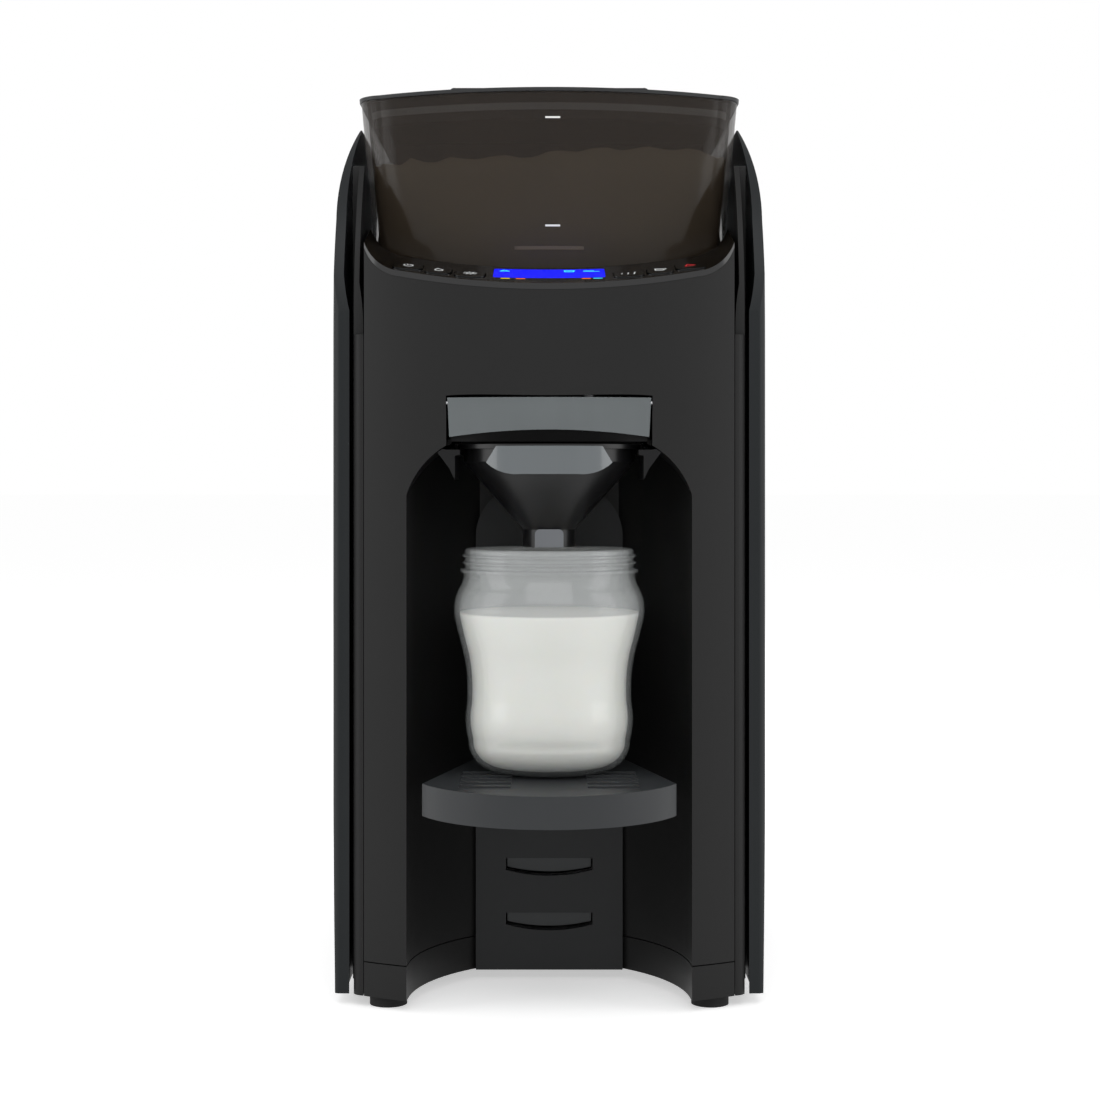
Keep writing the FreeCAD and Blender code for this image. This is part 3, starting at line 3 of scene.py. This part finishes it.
import bmesh
import bpy
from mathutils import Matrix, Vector


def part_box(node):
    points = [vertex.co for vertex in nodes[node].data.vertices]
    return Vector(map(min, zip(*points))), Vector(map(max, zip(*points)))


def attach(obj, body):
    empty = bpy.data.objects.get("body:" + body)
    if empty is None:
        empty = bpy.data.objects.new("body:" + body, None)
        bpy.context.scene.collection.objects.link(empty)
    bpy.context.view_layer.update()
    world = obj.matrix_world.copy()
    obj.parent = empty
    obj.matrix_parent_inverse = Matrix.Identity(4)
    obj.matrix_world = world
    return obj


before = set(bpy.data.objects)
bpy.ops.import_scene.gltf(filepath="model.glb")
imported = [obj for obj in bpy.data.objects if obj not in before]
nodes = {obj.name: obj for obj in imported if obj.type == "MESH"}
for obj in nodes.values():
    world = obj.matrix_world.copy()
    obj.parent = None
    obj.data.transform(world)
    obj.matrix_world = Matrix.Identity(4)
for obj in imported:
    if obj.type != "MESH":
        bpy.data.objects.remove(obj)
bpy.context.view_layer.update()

MM = 0.001

# The studio: a white sweep of floor and air, a broad soft lamp over the front and one on each side.
# The black plastics are read from soft reflections, so the lamps are large and the room is white.


def linear(hex_colour):
    """An sRGB hex colour as the linear colour that a shader socket takes."""
    channels = [int(hex_colour[start:start + 2], 16) / 255.0 for start in (1, 3, 5)]
    return tuple(c / 12.92 if c <= 0.04045 else ((c + 0.055) / 1.055) ** 2.4 for c in channels) + (1.0,)


def add_node(tree, kind, settings=None, **inputs):
    """Adds a shader node; an input is a value, or the output socket that it is linked to."""
    made = tree.nodes.new(kind)
    for name, setting in (settings or {}).items():
        setattr(made, name, setting)
    for name, value in inputs.items():
        key = int(name[1:]) if name[0] == "i" and name[1:].isdigit() else name.replace("_", " ")
        if isinstance(value, bpy.types.NodeSocket):
            tree.links.new(value, made.inputs[key])
        else:
            made.inputs[key].default_value = value
    return made


def new_material(name):
    made = bpy.data.materials.new(name)
    made.use_nodes = True
    made.node_tree.nodes.clear()
    return made, made.node_tree


def seen_white(tree):
    """One where a camera, glossy or transmission ray looks, and nought for light that falls on the object."""
    path = add_node(tree, "ShaderNodeLightPath")
    first = add_node(tree, "ShaderNodeMath", {"operation": "MAXIMUM"},
                     i0=path.outputs["Is Camera Ray"], i1=path.outputs["Is Glossy Ray"])
    return add_node(tree, "ShaderNodeMath", {"operation": "MAXIMUM"},
                    i0=first.outputs[0], i1=path.outputs["Is Transmission Ray"]).outputs[0]


ROOM_LIGHT = 0.55
world = bpy.data.worlds.new("white_room")
bpy.context.scene.world = world
world.use_nodes = True
world.node_tree.nodes.clear()
tree = world.node_tree
strength = add_node(tree, "ShaderNodeMapRange", i0=seen_white(tree), To_Min=ROOM_LIGHT, To_Max=1.0)
air = add_node(tree, "ShaderNodeBackground", Color=linear("#ffffff"), Strength=strength.outputs[0])
add_node(tree, "ShaderNodeOutputWorld", Surface=air.outputs[0])

FLOOR_SIZE = 60.0
FLOOR_GLOW_UNSEEN, FLOOR_GLOW_SEEN = 0.1, 0.5
floor_mesh = bpy.data.meshes.new("studio_floor")
half = FLOOR_SIZE / 2
floor_corners = [(-half, -half, 0), (half, -half, 0), (half, half, 0), (-half, half, 0)]
floor_mesh.from_pydata(floor_corners, [], [(0, 1, 2, 3)])
floor = bpy.data.objects.new("studio_floor", floor_mesh)
bpy.context.scene.collection.objects.link(floor)
floor_material, tree = new_material("white_floor")
paper = add_node(tree, "ShaderNodeBsdfDiffuse", Color=linear("#f2f2f2"))
floor_glow = add_node(tree, "ShaderNodeMapRange", i0=seen_white(tree),
                      To_Min=FLOOR_GLOW_UNSEEN, To_Max=FLOOR_GLOW_SEEN)
glow = add_node(tree, "ShaderNodeEmission", Color=linear("#ffffff"), Strength=floor_glow.outputs[0])
both = add_node(tree, "ShaderNodeAddShader", i0=paper.outputs[0], i1=glow.outputs[0])
add_node(tree, "ShaderNodeOutputMaterial", Surface=both.outputs[0])
floor_mesh.materials.append(floor_material)


def soft_lamp(name, place, target, width, height, power):
    lamp = bpy.data.lights.new(name, "AREA")
    lamp.shape = "RECTANGLE"
    lamp.size, lamp.size_y, lamp.energy = width, height, power
    holder = bpy.data.objects.new(name, lamp)
    holder.location = place
    holder.rotation_euler = (Vector(target) - Vector(place)).to_track_quat("-Z", "Y").to_euler()
    bpy.context.scene.collection.objects.link(holder)


soft_lamp("front_softbox", (0.0, -1.3, 1.3), (0, 0, 0.2), 1.6, 1.0, 9.0)
soft_lamp("left_softbox", (-1.5, -0.5, 0.7), (0, 0, 0.2), 0.8, 1.4, 6.0)
soft_lamp("right_softbox", (1.5, -0.5, 0.7), (0, 0, 0.2), 0.8, 1.4, 6.0)
soft_lamp("rear_softbox", (0.0, 1.6, 1.4), (0, 0, 0.25), 1.6, 0.8, 7.0)

# The photograph's view: a long lens held level in front of the funnel, with the frame slid down.
CAMERA_DISTANCE = 0.957
CAMERA_HEIGHT = 0.2233
lens = bpy.data.cameras.new("front_view")
lens.lens = 66.2
lens.sensor_width = 36.0
lens.shift_x = 0.0007
lens.shift_y = -0.0636
lens.clip_start = 0.01
camera = bpy.data.objects.new("front_view", lens)
camera.location = (0.0, -CAMERA_DISTANCE, CAMERA_HEIGHT)
camera.rotation_euler = (math.pi / 2, 0.0, 0.0)
bpy.context.scene.collection.objects.link(camera)
bpy.context.scene.camera = camera
bpy.context.scene.view_settings.view_transform = "Standard"


# The casing: side shells, rear cover, wall and tray behind the tower, moulded in black ABS.
# They are one satin black with a faint spark-eroded grain, clipped together with open seams.


def finish_node(name, material):
    mesh = nodes[name].data
    mesh.materials.clear()
    mesh.materials.append(material)


def moulded(name, base, lighter, roughness, specular, grain_mm, depth_mm, coat=0.0):
    """Moulded plastic: a fine grain in the gloss, and a slow drift of tone as light-handled parts have."""
    material, tree = new_material(name)
    place = add_node(tree, "ShaderNodeTexCoord")
    grain = add_node(tree, "ShaderNodeTexNoise", Vector=place.outputs["Object"],
                     Scale=1.0 / (grain_mm * MM), Detail=2.0, Roughness=0.6)
    drift = add_node(tree, "ShaderNodeTexNoise", Vector=place.outputs["Object"],
                     Scale=14.0, Detail=3.0, Roughness=0.5)
    tone = add_node(tree, "ShaderNodeMix", {"data_type": "RGBA"}, i0=drift.outputs["Fac"],
                    i6=linear(base), i7=linear(lighter))
    rub = add_node(tree, "ShaderNodeMapRange", i0=drift.outputs["Fac"],
                   To_Min=roughness - 0.05, To_Max=roughness + 0.05)
    bump = add_node(tree, "ShaderNodeBump", Height=grain.outputs["Fac"],
                    Strength=0.25, Distance=depth_mm * MM)
    skin = add_node(tree, "ShaderNodeBsdfPrincipled", Base_Color=tone.outputs[2], Roughness=rub.outputs[0],
                    Specular_IOR_Level=specular, Coat_Weight=coat, Coat_Roughness=0.05,
                    Normal=bump.outputs[0])
    add_node(tree, "ShaderNodeOutputMaterial", Surface=skin.outputs[0])
    return material


casing_abs = moulded("casing_black_abs_satin", "#111416", "#171b1d", 0.42, 0.22, 0.5, 0.02)
for name in ("left_side_shell", "right_side_shell", "rear_cover", "tower_back_wall", "tank_tray"):
    finish_node(name, casing_abs)

# The front: one bowed moulding with the recess, the base rim and the trim strips beside it.
# A slightly softer black than the shells, without gloss, so the bow shows as a slow change of tone.
front_abs = moulded("front_black_abs_matt", "#161616", "#1b1b1b", 0.5, 0.2, 0.45, 0.025)
for name in ("front_shell", "base_pan", "left_trim_strip", "right_trim_strip"):
    finish_node(name, front_abs)

# The slotted column and the bottle stand are a dark grey ABS with a coarser, paler grain.
# The pads seen in the slots are the same plastic, given a lighter grey as painted light against the shade
# that falls inside the slots.
column_abs = moulded("column_dark_grey_abs_matt", "#1f2021", "#262728", 0.55, 0.25, 0.6, 0.04)
stand_abs = moulded("stand_charcoal_abs_satin", "#26282a", "#2e3032", 0.45, 0.3, 0.6, 0.04)
# Painted light: the pads' lighter grey stands in for light on the slots' back walls, which are the column's
# own plastic.
pad_abs_painted_lighter = moulded("slot_pad_abs_painted_light_matt", "#303233", "#3a3c3d", 0.5, 0.3, 0.6, 0.03)
finish_node("slot_column", column_abs)
finish_node("bottle_stand", stand_abs)
finish_node("slot_blanks", pad_abs_painted_lighter)

# The control panel: clear acrylic printed black behind, polished, with the buttons cut from its curve.
# A clear coat over near-black gives the sharp reflections that a printed window has.
panel_acrylic = moulded("panel_black_acrylic_polished", "#060607", "#09090a",
                        0.12, 0.3, 0.8, 0.004, coat=0.6)
finish_node("control_panel", panel_acrylic)
button_acrylic = moulded("button_black_acrylic_polished", "#08090a", "#0c0d0e",
                         0.18, 0.3, 0.8, 0.004, coat=0.5)
for name in ("button_power", "button_water", "button_light", "button_volume", "button_powder",
             "button_start"):
    finish_node(name, button_acrylic)

# The hidden pieces, each in what it is commonly made of: white acetal gears, milky silicone hoses and seals,
# green glass-epoxy boards, and black ABS for what carries them.
inner_abs = moulded("inner_black_abs_matt", "#0c0c0d", "#111112", 0.6, 0.2, 0.8, 0.03)
for name in ("powder_chute", "chute_hood", "funnel_rails", "motor_bracket", "hopper_deck", "inner_frames",
             "water_pump", "switch_housing"):
    finish_node(name, inner_abs)
acetal = moulded("acetal_white_moulded", "#c9c9c4", "#d6d6d1", 0.4, 0.45, 0.8, 0.02)
for name in ("dosing_wheel", "stirrer", "drive_gear", "tank_valve"):
    finish_node(name, acetal)
silicone = moulded("silicone_milky_moulded", "#b9bab8", "#c6c7c5", 0.5, 0.4, 0.8, 0.02)
for name in ("tank_hose", "pump_hose", "nozzle_hose", "valve_seal", "lid_seal"):
    finish_node(name, silicone)
board = moulded("board_green_glass_epoxy", "#0f4a2a", "#156036", 0.35, 0.5, 0.3, 0.01)
for name in ("control_board", "power_board"):
    finish_node(name, board)
rubber = moulded("foot_black_rubber_moulded", "#141414", "#1c1c1c", 0.75, 0.3, 0.7, 0.05)
for name in ("rubber_feet", "cord_gland"):
    finish_node(name, rubber)
switch_abs = moulded("switch_black_abs_gloss", "#0b0b0c", "#101011", 0.2, 0.5, 0.8, 0.01)
finish_node("power_switch", switch_abs)


def turned_steel(name, base, roughness):
    """Turned or drawn steel: fine lines round the axis break the highlight into a soft band."""
    material, tree = new_material(name)
    place = add_node(tree, "ShaderNodeTexCoord")
    lines = add_node(tree, "ShaderNodeMapping", Vector=place.outputs["Object"], Scale=(60.0, 60.0, 2500.0))
    brush = add_node(tree, "ShaderNodeTexNoise", Vector=lines.outputs[0], Scale=1.0, Detail=2.0)
    rub = add_node(tree, "ShaderNodeMapRange", i0=brush.outputs["Fac"],
                   To_Min=roughness - 0.08, To_Max=roughness + 0.1)
    bump = add_node(tree, "ShaderNodeBump", Height=brush.outputs["Fac"], Strength=0.2, Distance=0.01 * MM)
    skin = add_node(tree, "ShaderNodeBsdfPrincipled", Base_Color=linear(base), Metallic=1.0,
                    Roughness=rub.outputs[0], Normal=bump.outputs[0])
    add_node(tree, "ShaderNodeOutputMaterial", Surface=skin.outputs[0])
    return material


steel = turned_steel("steel_turned_satin", "#b4b5b7", 0.32)
for name in ("lid_hinge_pin", "cover_hinge_pin", "water_nozzle", "gear_motor", "water_heater",
             "drive_coupling", "motor_pinion", "valve_spring"):
    finish_node(name, steel)
finish_node("casing_screws", turned_steel("steel_black_zinc", "#3a3b3e", 0.38))

# The clear mouldings. The hopper is a smoke-tinted copolyester, dark where no powder is behind it.
# The cover window, the funnel's grip and its spout insert are pale grey, and the tank is water-clear.


def clear_plastic(name, tint, deeper, alpha, roughness, specular=0.5, coat=0.5):
    """A clear moulding as tinted coverage with a sharp gloss; flow marks vary the tint a little."""
    material, tree = new_material(name)
    place = add_node(tree, "ShaderNodeTexCoord")
    flow = add_node(tree, "ShaderNodeMapping", Vector=place.outputs["Object"], Scale=(55.0, 55.0, 4.0))
    marks = add_node(tree, "ShaderNodeTexNoise", Vector=flow.outputs[0],
                     Scale=1.0, Detail=2.0, Roughness=0.5)
    tone = add_node(tree, "ShaderNodeMix", {"data_type": "RGBA"}, i0=marks.outputs["Fac"],
                    i6=linear(tint), i7=linear(deeper))
    bump = add_node(tree, "ShaderNodeBump", Height=marks.outputs["Fac"], Strength=0.15, Distance=0.02 * MM)
    skin = add_node(tree, "ShaderNodeBsdfPrincipled", Base_Color=tone.outputs[2], Roughness=roughness,
                    Alpha=alpha, Specular_IOR_Level=specular, Coat_Weight=coat, Coat_Roughness=0.04,
                    Normal=bump.outputs[0])
    add_node(tree, "ShaderNodeOutputMaterial", Surface=skin.outputs[0])
    return material


hopper_clear = clear_plastic("hopper_smoke_copolyester", "#29231e", "#322a23", 0.56, 0.1, 0.22, 0.08)
cover_clear = clear_plastic("cover_pale_grey_copolyester", "#5c6264", "#666c6e", 0.8, 0.12)
grip_clear = clear_plastic("grip_pale_grey_copolyester", "#5a6063", "#64696c", 0.92, 0.2)
spout_clear = clear_plastic("spout_pale_grey_copolyester", "#63666b", "#6c6f74", 0.92, 0.25)
bottle_clear = clear_plastic("bottle_clear_polypropylene", "#dde1e1", "#e6eaea", 0.22, 0.08, 0.8)
tank_clear = clear_plastic("tank_clear_copolyester", "#9fb0b6", "#b1c0c5", 0.26, 0.08, 0.8)
finish_node("powder_hopper", hopper_clear)
finish_node("funnel_cover", cover_clear)
finish_node("funnel_grip", grip_clear)
finish_node("funnel_spout", spout_clear)
finish_node("bottle", bottle_clear)
finish_node("water_tank", tank_clear)

# The opaque lids, and the funnel that takes powder and water: smooth black polypropylene, wiped clean.
finish_node("tank_lid", moulded("tank_lid_black_abs", "#17191a", "#1e2021", 0.45, 0.3, 0.5, 0.03))
finish_node("hopper_lid", moulded("lid_charcoal_abs_satin", "#222324", "#292a2b", 0.42, 0.3, 0.5, 0.03))
funnel_black = moulded("funnel_near_black_polypropylene", "#0d0d0e", "#131314", 0.32, 0.35, 0.7, 0.02)
finish_node("funnel", funnel_black)

# The display window: blue backlit glass at the foot of the hopper, seen nearly edge-on from the front.
# It carries level lines and a few marks in pale cyan. Four small coloured lamps are on the panel below it.


def glowing(name, colour, strength, flicker=1.06):
    """A backlit print: an even glow, a little uneven from the lamp behind it."""
    material, tree = new_material(name)
    place = add_node(tree, "ShaderNodeTexCoord")
    cloud = add_node(tree, "ShaderNodeTexNoise", Vector=place.outputs["Object"], Scale=90.0, Detail=1.0)
    glow = add_node(tree, "ShaderNodeMapRange", i0=cloud.outputs["Fac"],
                    To_Min=strength / flicker, To_Max=strength * flicker)
    skin = add_node(tree, "ShaderNodeBsdfPrincipled", Base_Color=linear(colour), Roughness=0.15,
                    Emission_Color=linear(colour), Emission_Strength=glow.outputs[0])
    add_node(tree, "ShaderNodeOutputMaterial", Surface=skin.outputs[0])
    return material


finish_node("display_glass", glowing("display_blue_backlight", "#0a12e8", 0.75))


def add_mesh(name, vertices, faces, material, body, smooth=False):
    mesh = bpy.data.meshes.new(name)
    mesh.from_pydata(vertices, [], faces)
    mesh.materials.append(material)
    tidy = bmesh.new()
    tidy.from_mesh(mesh)
    bmesh.ops.recalc_face_normals(tidy, faces=tidy.faces)
    tidy.to_mesh(mesh)
    tidy.free()
    mesh.polygons.foreach_set("use_smooth", [smooth] * len(mesh.polygons))
    made = bpy.data.objects.new(name, mesh)
    bpy.context.scene.collection.objects.link(made)
    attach(made, body)
    return made


def print_on(name, node, body, start, along, strokes, material, width=0.45, raised=0.06):
    """Prints strokes, in mm about where a ray meets a node, as thin ink laid on its surface."""
    hit, place, normal, _ = nodes[node].ray_cast(Vector(start) * MM, Vector(along))
    if not hit:
        print("no surface under", name)
        return
    if normal.dot(Vector(along)) > 0:
        normal = -normal
    across = Vector((0, 0, 1)).cross(-normal).normalized() * -1.0
    if across.x < 0:
        across = -across
    upward = normal.cross(across).normalized()
    if upward.z < 0 and upward.y < 0:
        upward = -upward
    vertices, faces = [], []
    for stroke in strokes:
        for first, second in zip(stroke, stroke[1:]):
            a, b = Vector(first), Vector(second)
            side = Vector((a.y - b.y, b.x - a.x)).normalized() * (width / 2)
            corners = [a - side, b - side, b + side, a + side]
            for lift in (-raised, raised):
                for corner in corners:
                    point = place + (across * corner.x + upward * corner.y + normal * lift) * MM
                    vertices.append(tuple(point))
            base = len(vertices) - 8
            faces += [(base, base + 1, base + 2, base + 3), (base + 4, base + 5, base + 6, base + 7)]
            for k in range(4):
                after = (k + 1) % 4
                faces.append((base + k, base + after, base + 4 + after, base + 4 + k))
    add_mesh(name, vertices, faces, material, body)


def loop(radius, sides=12, centre=(0.0, 0.0), begin=0.0, sweep=360.0):
    angles = [math.radians(begin + sweep * k / sides) for k in range(sides + 1)]
    return [(centre[0] + radius * math.cos(a), centre[1] + radius * math.sin(a)) for a in angles]


cyan_mark = glowing("display_cyan_print", "#3fd8f5", 0.9)
DISPLAY_Y = -96.0
DOWN = (0, 0, -1)
ABOVE_ALL = 400.0
print_on("display_drop", "display_glass", "housing", (-19.0, DISPLAY_Y, ABOVE_ALL), DOWN,
         [[(-2.0, -0.9), (0, 1.6), (2.0, -0.9), (-2.0, -0.9)]], cyan_mark)
print_on("display_cup", "display_glass", "housing", (8.5, DISPLAY_Y, ABOVE_ALL), DOWN,
         [[(-2.2, 1.5), (2.2, 1.5), (1.8, -1.5), (-1.8, -1.5), (-2.2, 1.5)], [(-1.9, 0.2), (1.9, 0.2)]],
         cyan_mark)
print_on("display_level", "display_glass", "housing", (18.0, DISPLAY_Y, ABOVE_ALL), DOWN,
         [[(-3.5, -1.2), (3.5, -1.2)], [(-3.5, 0.3), (1.0, 0.3)]], cyan_mark)
LAMP_Y = -112.4
lamp_marks = [(-18.4, "#d8c21c"), (-12.0, "#e8731a"), (15.5, "#e8731a"), (20.4, "#35cfe8")]
for number, (lamp_x, lamp_colour) in enumerate(lamp_marks):
    lamp_glow = glowing("panel_lamp_colour_%d" % number, lamp_colour, 0.7)
    print_on("panel_lamp_%d" % number, "control_panel", "housing", (lamp_x, LAMP_Y, ABOVE_ALL), DOWN,
             [[(-1.9, 0.0), (1.9, 0.0)]], lamp_glow, width=1.1)

# The buttons carry plain signs: on and off, a drop, a lamp, three levels, a powder cup, and a red start sign.
# They are screen-printed on the acrylic in pale grey ink, and ride on the buttons.


def ink(name, colour):
    return moulded(name, colour, colour, 0.5, 0.3, 0.2, 0.002)


pale_ink = ink("button_pale_ink", "#eceeee")
red_ink = ink("button_red_ink", "#e02a30")
EIGHTHS = [math.radians(45 * k) for k in range(8)]
rays = [[(2.0 * math.cos(a), 2.0 * math.sin(a)), (2.9 * math.cos(a), 2.9 * math.sin(a))] for a in EIGHTHS]
signs = {
    "button_power": [loop(2.0, 12, begin=115, sweep=310), [(0, 0.6), (0, 2.6)]],
    "button_water": [loop(1.7, 10, (0, -0.6), 150, 240), [(-1.45, 0.3), (0, 2.6), (1.45, 0.3)]],
    "button_light": [loop(1.4)] + rays,
    "button_volume": [[(-2.6, -2.2), (-2.6, -0.6)], [(0, -2.2), (0, 0.8)], [(2.6, -2.2), (2.6, 2.4)]],
    "button_powder": [[(-2.4, 1.8), (2.4, 1.8), (1.5, -1.8), (-1.5, -1.8), (-2.4, 1.8)],
                      [(-2.0, 0.4), (2.0, 0.4)]],
    "button_start": [[(-1.6, -2.1), (2.2, 0), (-1.6, 2.1), (-1.6, -2.1)]],
}
for button, strokes in signs.items():
    low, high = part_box(button)
    middle = ((low[0] + high[0]) / 2 / MM, (low[1] + high[1]) / 2 / MM, ABOVE_ALL)
    colour = red_ink if button == "button_start" else pale_ink
    print_on(button + "_sign", button, button, middle, DOWN, strokes, colour)

# Two level marks on the hopper's front, printed white where the fill lines are.
white_ink = ink("hopper_white_ink", "#e6e6e2")
AHEAD = (0, 1, 0)
IN_FRONT = -300.0
for mark_name, mark_z in (("hopper_upper_mark", 378.7), ("hopper_lower_mark", 332.6)):
    print_on(mark_name, "powder_hopper", "hopper", (1.5, IN_FRONT, mark_z), AHEAD,
             [[(-3.2, 0), (3.2, 0)]], white_ink, width=0.8)

# Formula powder fills the hopper round the dosing wheel: a cream heap, a little higher at the right.
# It is loose, lies against the hopper's walls, and rides with the hopper.
HOPPER_FLOOR, HOPPER_RIM, HOPPER_WALL = 309.0, 389.8, 2.6
HOPPER_HALF_WIDTH, HOPPER_WIDENS = 76.2, 7.0
HOPPER_FRONT, HOPPER_LEANS = 87.5, 4.0
HOPPER_BACK, HOPPER_CORNER = 52.0, 9.0
HOPPER_BOW = 22.0


def arc_points(first, middle, last, count):
    """Points along the circle through three points, without the last one."""
    (ax, ay), (bx, by), (cx, cy) = first, middle, last
    scale = 2 * (ax * (by - cy) + bx * (cy - ay) + cx * (ay - by))
    a2, b2, c2 = ax * ax + ay * ay, bx * bx + by * by, cx * cx + cy * cy
    centre_x = (a2 * (by - cy) + b2 * (cy - ay) + c2 * (ay - by)) / scale
    centre_y = (a2 * (cx - bx) + b2 * (ax - cx) + c2 * (bx - ax)) / scale
    radius = math.hypot(ax - centre_x, ay - centre_y)
    begin = math.atan2(ay - centre_y, ax - centre_x)
    through = math.atan2(by - centre_y, bx - centre_x)
    end = math.atan2(cy - centre_y, cx - centre_x)
    turn = (end - begin) % (2 * math.pi)
    if (through - begin) % (2 * math.pi) > turn:
        turn -= 2 * math.pi
    angles = [begin + turn * k / count for k in range(count)]
    return [(centre_x + radius * math.cos(angle), centre_y + radius * math.sin(angle)) for angle in angles]


def hopper_ring(height, inset):
    """The hopper's inside in plan at a height, as points round it."""
    share = (height - HOPPER_FLOOR) / (HOPPER_RIM - HOPPER_FLOOR)
    half_width = HOPPER_HALF_WIDTH + share * HOPPER_WIDENS - inset
    front = HOPPER_FRONT + share * HOPPER_LEANS - inset
    back = HOPPER_BACK - inset
    corner = HOPPER_CORNER - inset
    side = -front + HOPPER_BOW
    inside = corner * (1 - math.sqrt(0.5))
    right = [(half_width - corner, side - 3.0), (half_width - inside * 0.9, side + 2.0),
             (half_width, side + corner)]
    rear = [(half_width, back - corner), (half_width - inside, back - inside), (half_width - corner, back)]
    left_rear = [(-x, y) for x, y in reversed(rear)]
    left = [(-x, y) for x, y in reversed(right)]
    points = arc_points(left[2], (0.0, -front), right[0], 24)
    points += arc_points(*right, 5) + [right[2]] + arc_points(*rear, 5) + [rear[2]]
    points += arc_points(*left_rear, 5) + [left_rear[2]] + arc_points(*left, 5)
    return points


HEAP_LEVEL, HEAP_RISE = 360.5, 4.5
HEAP_RISE_X, HEAP_RISE_LENGTH = 8.0, 7.0
HEAP_FALL, HEAP_FALL_Y = 0.03, -20


def powder_height(x, y):
    """The top of the heap: swells on a level that rises right of the middle and falls towards the back."""
    swell = 0.9 * math.sin(x * 0.31 + 1.0) + 0.6 * math.sin(x * 0.83 + y * 0.4)
    swell += 0.5 * math.sin(y * 0.57 - x * 0.2)
    rise = HEAP_RISE / (1 + math.exp(-(x - HEAP_RISE_X) / HEAP_RISE_LENGTH))
    return HEAP_LEVEL + rise + swell - HEAP_FALL * (y - HEAP_FALL_Y)


POWDER_LOW, POWDER_HALFWAY, POWDER_SIDE_TOP, POWDER_GAP = 312.6, 335.0, 357.0, 0.25
HOPPER_MIDDLE_Y = -18.0
TOP_RINGS = 12
vertices, faces = [], []
rings = [(POWDER_LOW, 1.0), (POWDER_HALFWAY, 1.0), (POWDER_SIDE_TOP, 1.0), ("top", 1.0)]
rings += [("top", share / TOP_RINGS) for share in range(TOP_RINGS - 1, 0, -1)]
for level, shrink in rings:
    outline = hopper_ring(POWDER_SIDE_TOP if level == "top" else level, HOPPER_WALL + POWDER_GAP)
    for x, y in outline:
        x, y = x * shrink, (y - HOPPER_MIDDLE_Y) * shrink + HOPPER_MIDDLE_Y
        vertices.append((x * MM, y * MM, (powder_height(x, y) if level == "top" else level) * MM))
around = len(outline)
for ring_number in range(len(rings) - 1):
    for k in range(around):
        a, b = ring_number * around + k, ring_number * around + (k + 1) % around
        faces.append((a, b, b + around, a + around))
faces.append(tuple(range(around - 1, -1, -1)))
faces.append(tuple((len(rings) - 1) * around + k for k in range(around)))
powder_cream = moulded("milk_powder_cream", "#ab9a7e", "#c4b396", 0.9, 0.1, 0.9, 0.5)
add_mesh("milk_powder", vertices, faces, powder_cream, "hopper", smooth=True)

# Milk in the bottle, up to below its neck: a body of the bottle's own inside profile, a hair smaller.
BOTTLE_BASE, BOTTLE_Y = 100.1, -96.0
MILK_TOP, MILK_GAP = 67.2, 0.22
MILK_EDGE_RADIUS, MILK_LEVEL_RADIUS, MILK_CLIMB = 37.95, 37.0, 0.4
wall_arcs = [((21.4, 2.0), (29.3, 5.0), (32.5, 13.4)), ((32.5, 13.4), (33.5, 19.0), (33.1, 28.0)),
             ((33.1, 28.0), (32.9, 37.0), (34.3, 49.4)), ((34.3, 49.4), (36.7, 58.8), (38.0, 64.8)),
             ((38.0, 64.8), (38.2, 71.0), (36.4, 76.3))]
wall_line = [point for wall_arc in wall_arcs for point in arc_points(*wall_arc, 9)]
inside_profile = [(0.0, 2.0 + MILK_GAP)]
inside_profile += [(r - MILK_GAP, h + MILK_GAP * 0.5) for r, h in wall_line if h < MILK_TOP]
inside_profile += [(MILK_EDGE_RADIUS, MILK_TOP), (MILK_LEVEL_RADIUS, MILK_TOP - MILK_CLIMB),
                   (0.0, MILK_TOP - MILK_CLIMB)]
vertices, faces = [(0, BOTTLE_Y * MM, (BOTTLE_BASE + inside_profile[0][1]) * MM)], []
SIDES = 72
for radius, height in inside_profile[1:-1]:
    for k in range(SIDES):
        angle = 2 * math.pi * k / SIDES
        vertices.append((radius * math.cos(angle) * MM, (BOTTLE_Y + radius * math.sin(angle)) * MM,
                         (BOTTLE_BASE + height) * MM))
vertices.append((0, BOTTLE_Y * MM, (BOTTLE_BASE + inside_profile[-1][1]) * MM))
faces += [(0, 1 + (k + 1) % SIDES, 1 + k) for k in range(SIDES)]
levels = len(inside_profile) - 2
for level in range(levels - 1):
    for k in range(SIDES):
        a, b = 1 + level * SIDES + k, 1 + level * SIDES + (k + 1) % SIDES
        faces.append((a, b, b + SIDES, a + SIDES))
last = 1 + (levels - 1) * SIDES
faces += [(last + k, last + (k + 1) % SIDES, len(vertices) - 1) for k in range(SIDES)]
milk, tree = new_material("milk_cream_white")
place = add_node(tree, "ShaderNodeTexCoord")
cloud = add_node(tree, "ShaderNodeTexNoise", Vector=place.outputs["Object"], Scale=40.0, Detail=2.0)
tone = add_node(tree, "ShaderNodeMix", {"data_type": "RGBA"}, i0=cloud.outputs["Fac"],
                i6=linear("#f1f0e8"), i7=linear("#f6f5ee"))
skin = add_node(tree, "ShaderNodeBsdfPrincipled", Base_Color=tone.outputs[2], Roughness=0.35,
                Subsurface_Weight=0.3, Subsurface_Radius=(0.004, 0.003, 0.002))
add_node(tree, "ShaderNodeOutputMaterial", Surface=skin.outputs[0])
add_mesh("milk", vertices, faces, milk, "bottle", smooth=True)
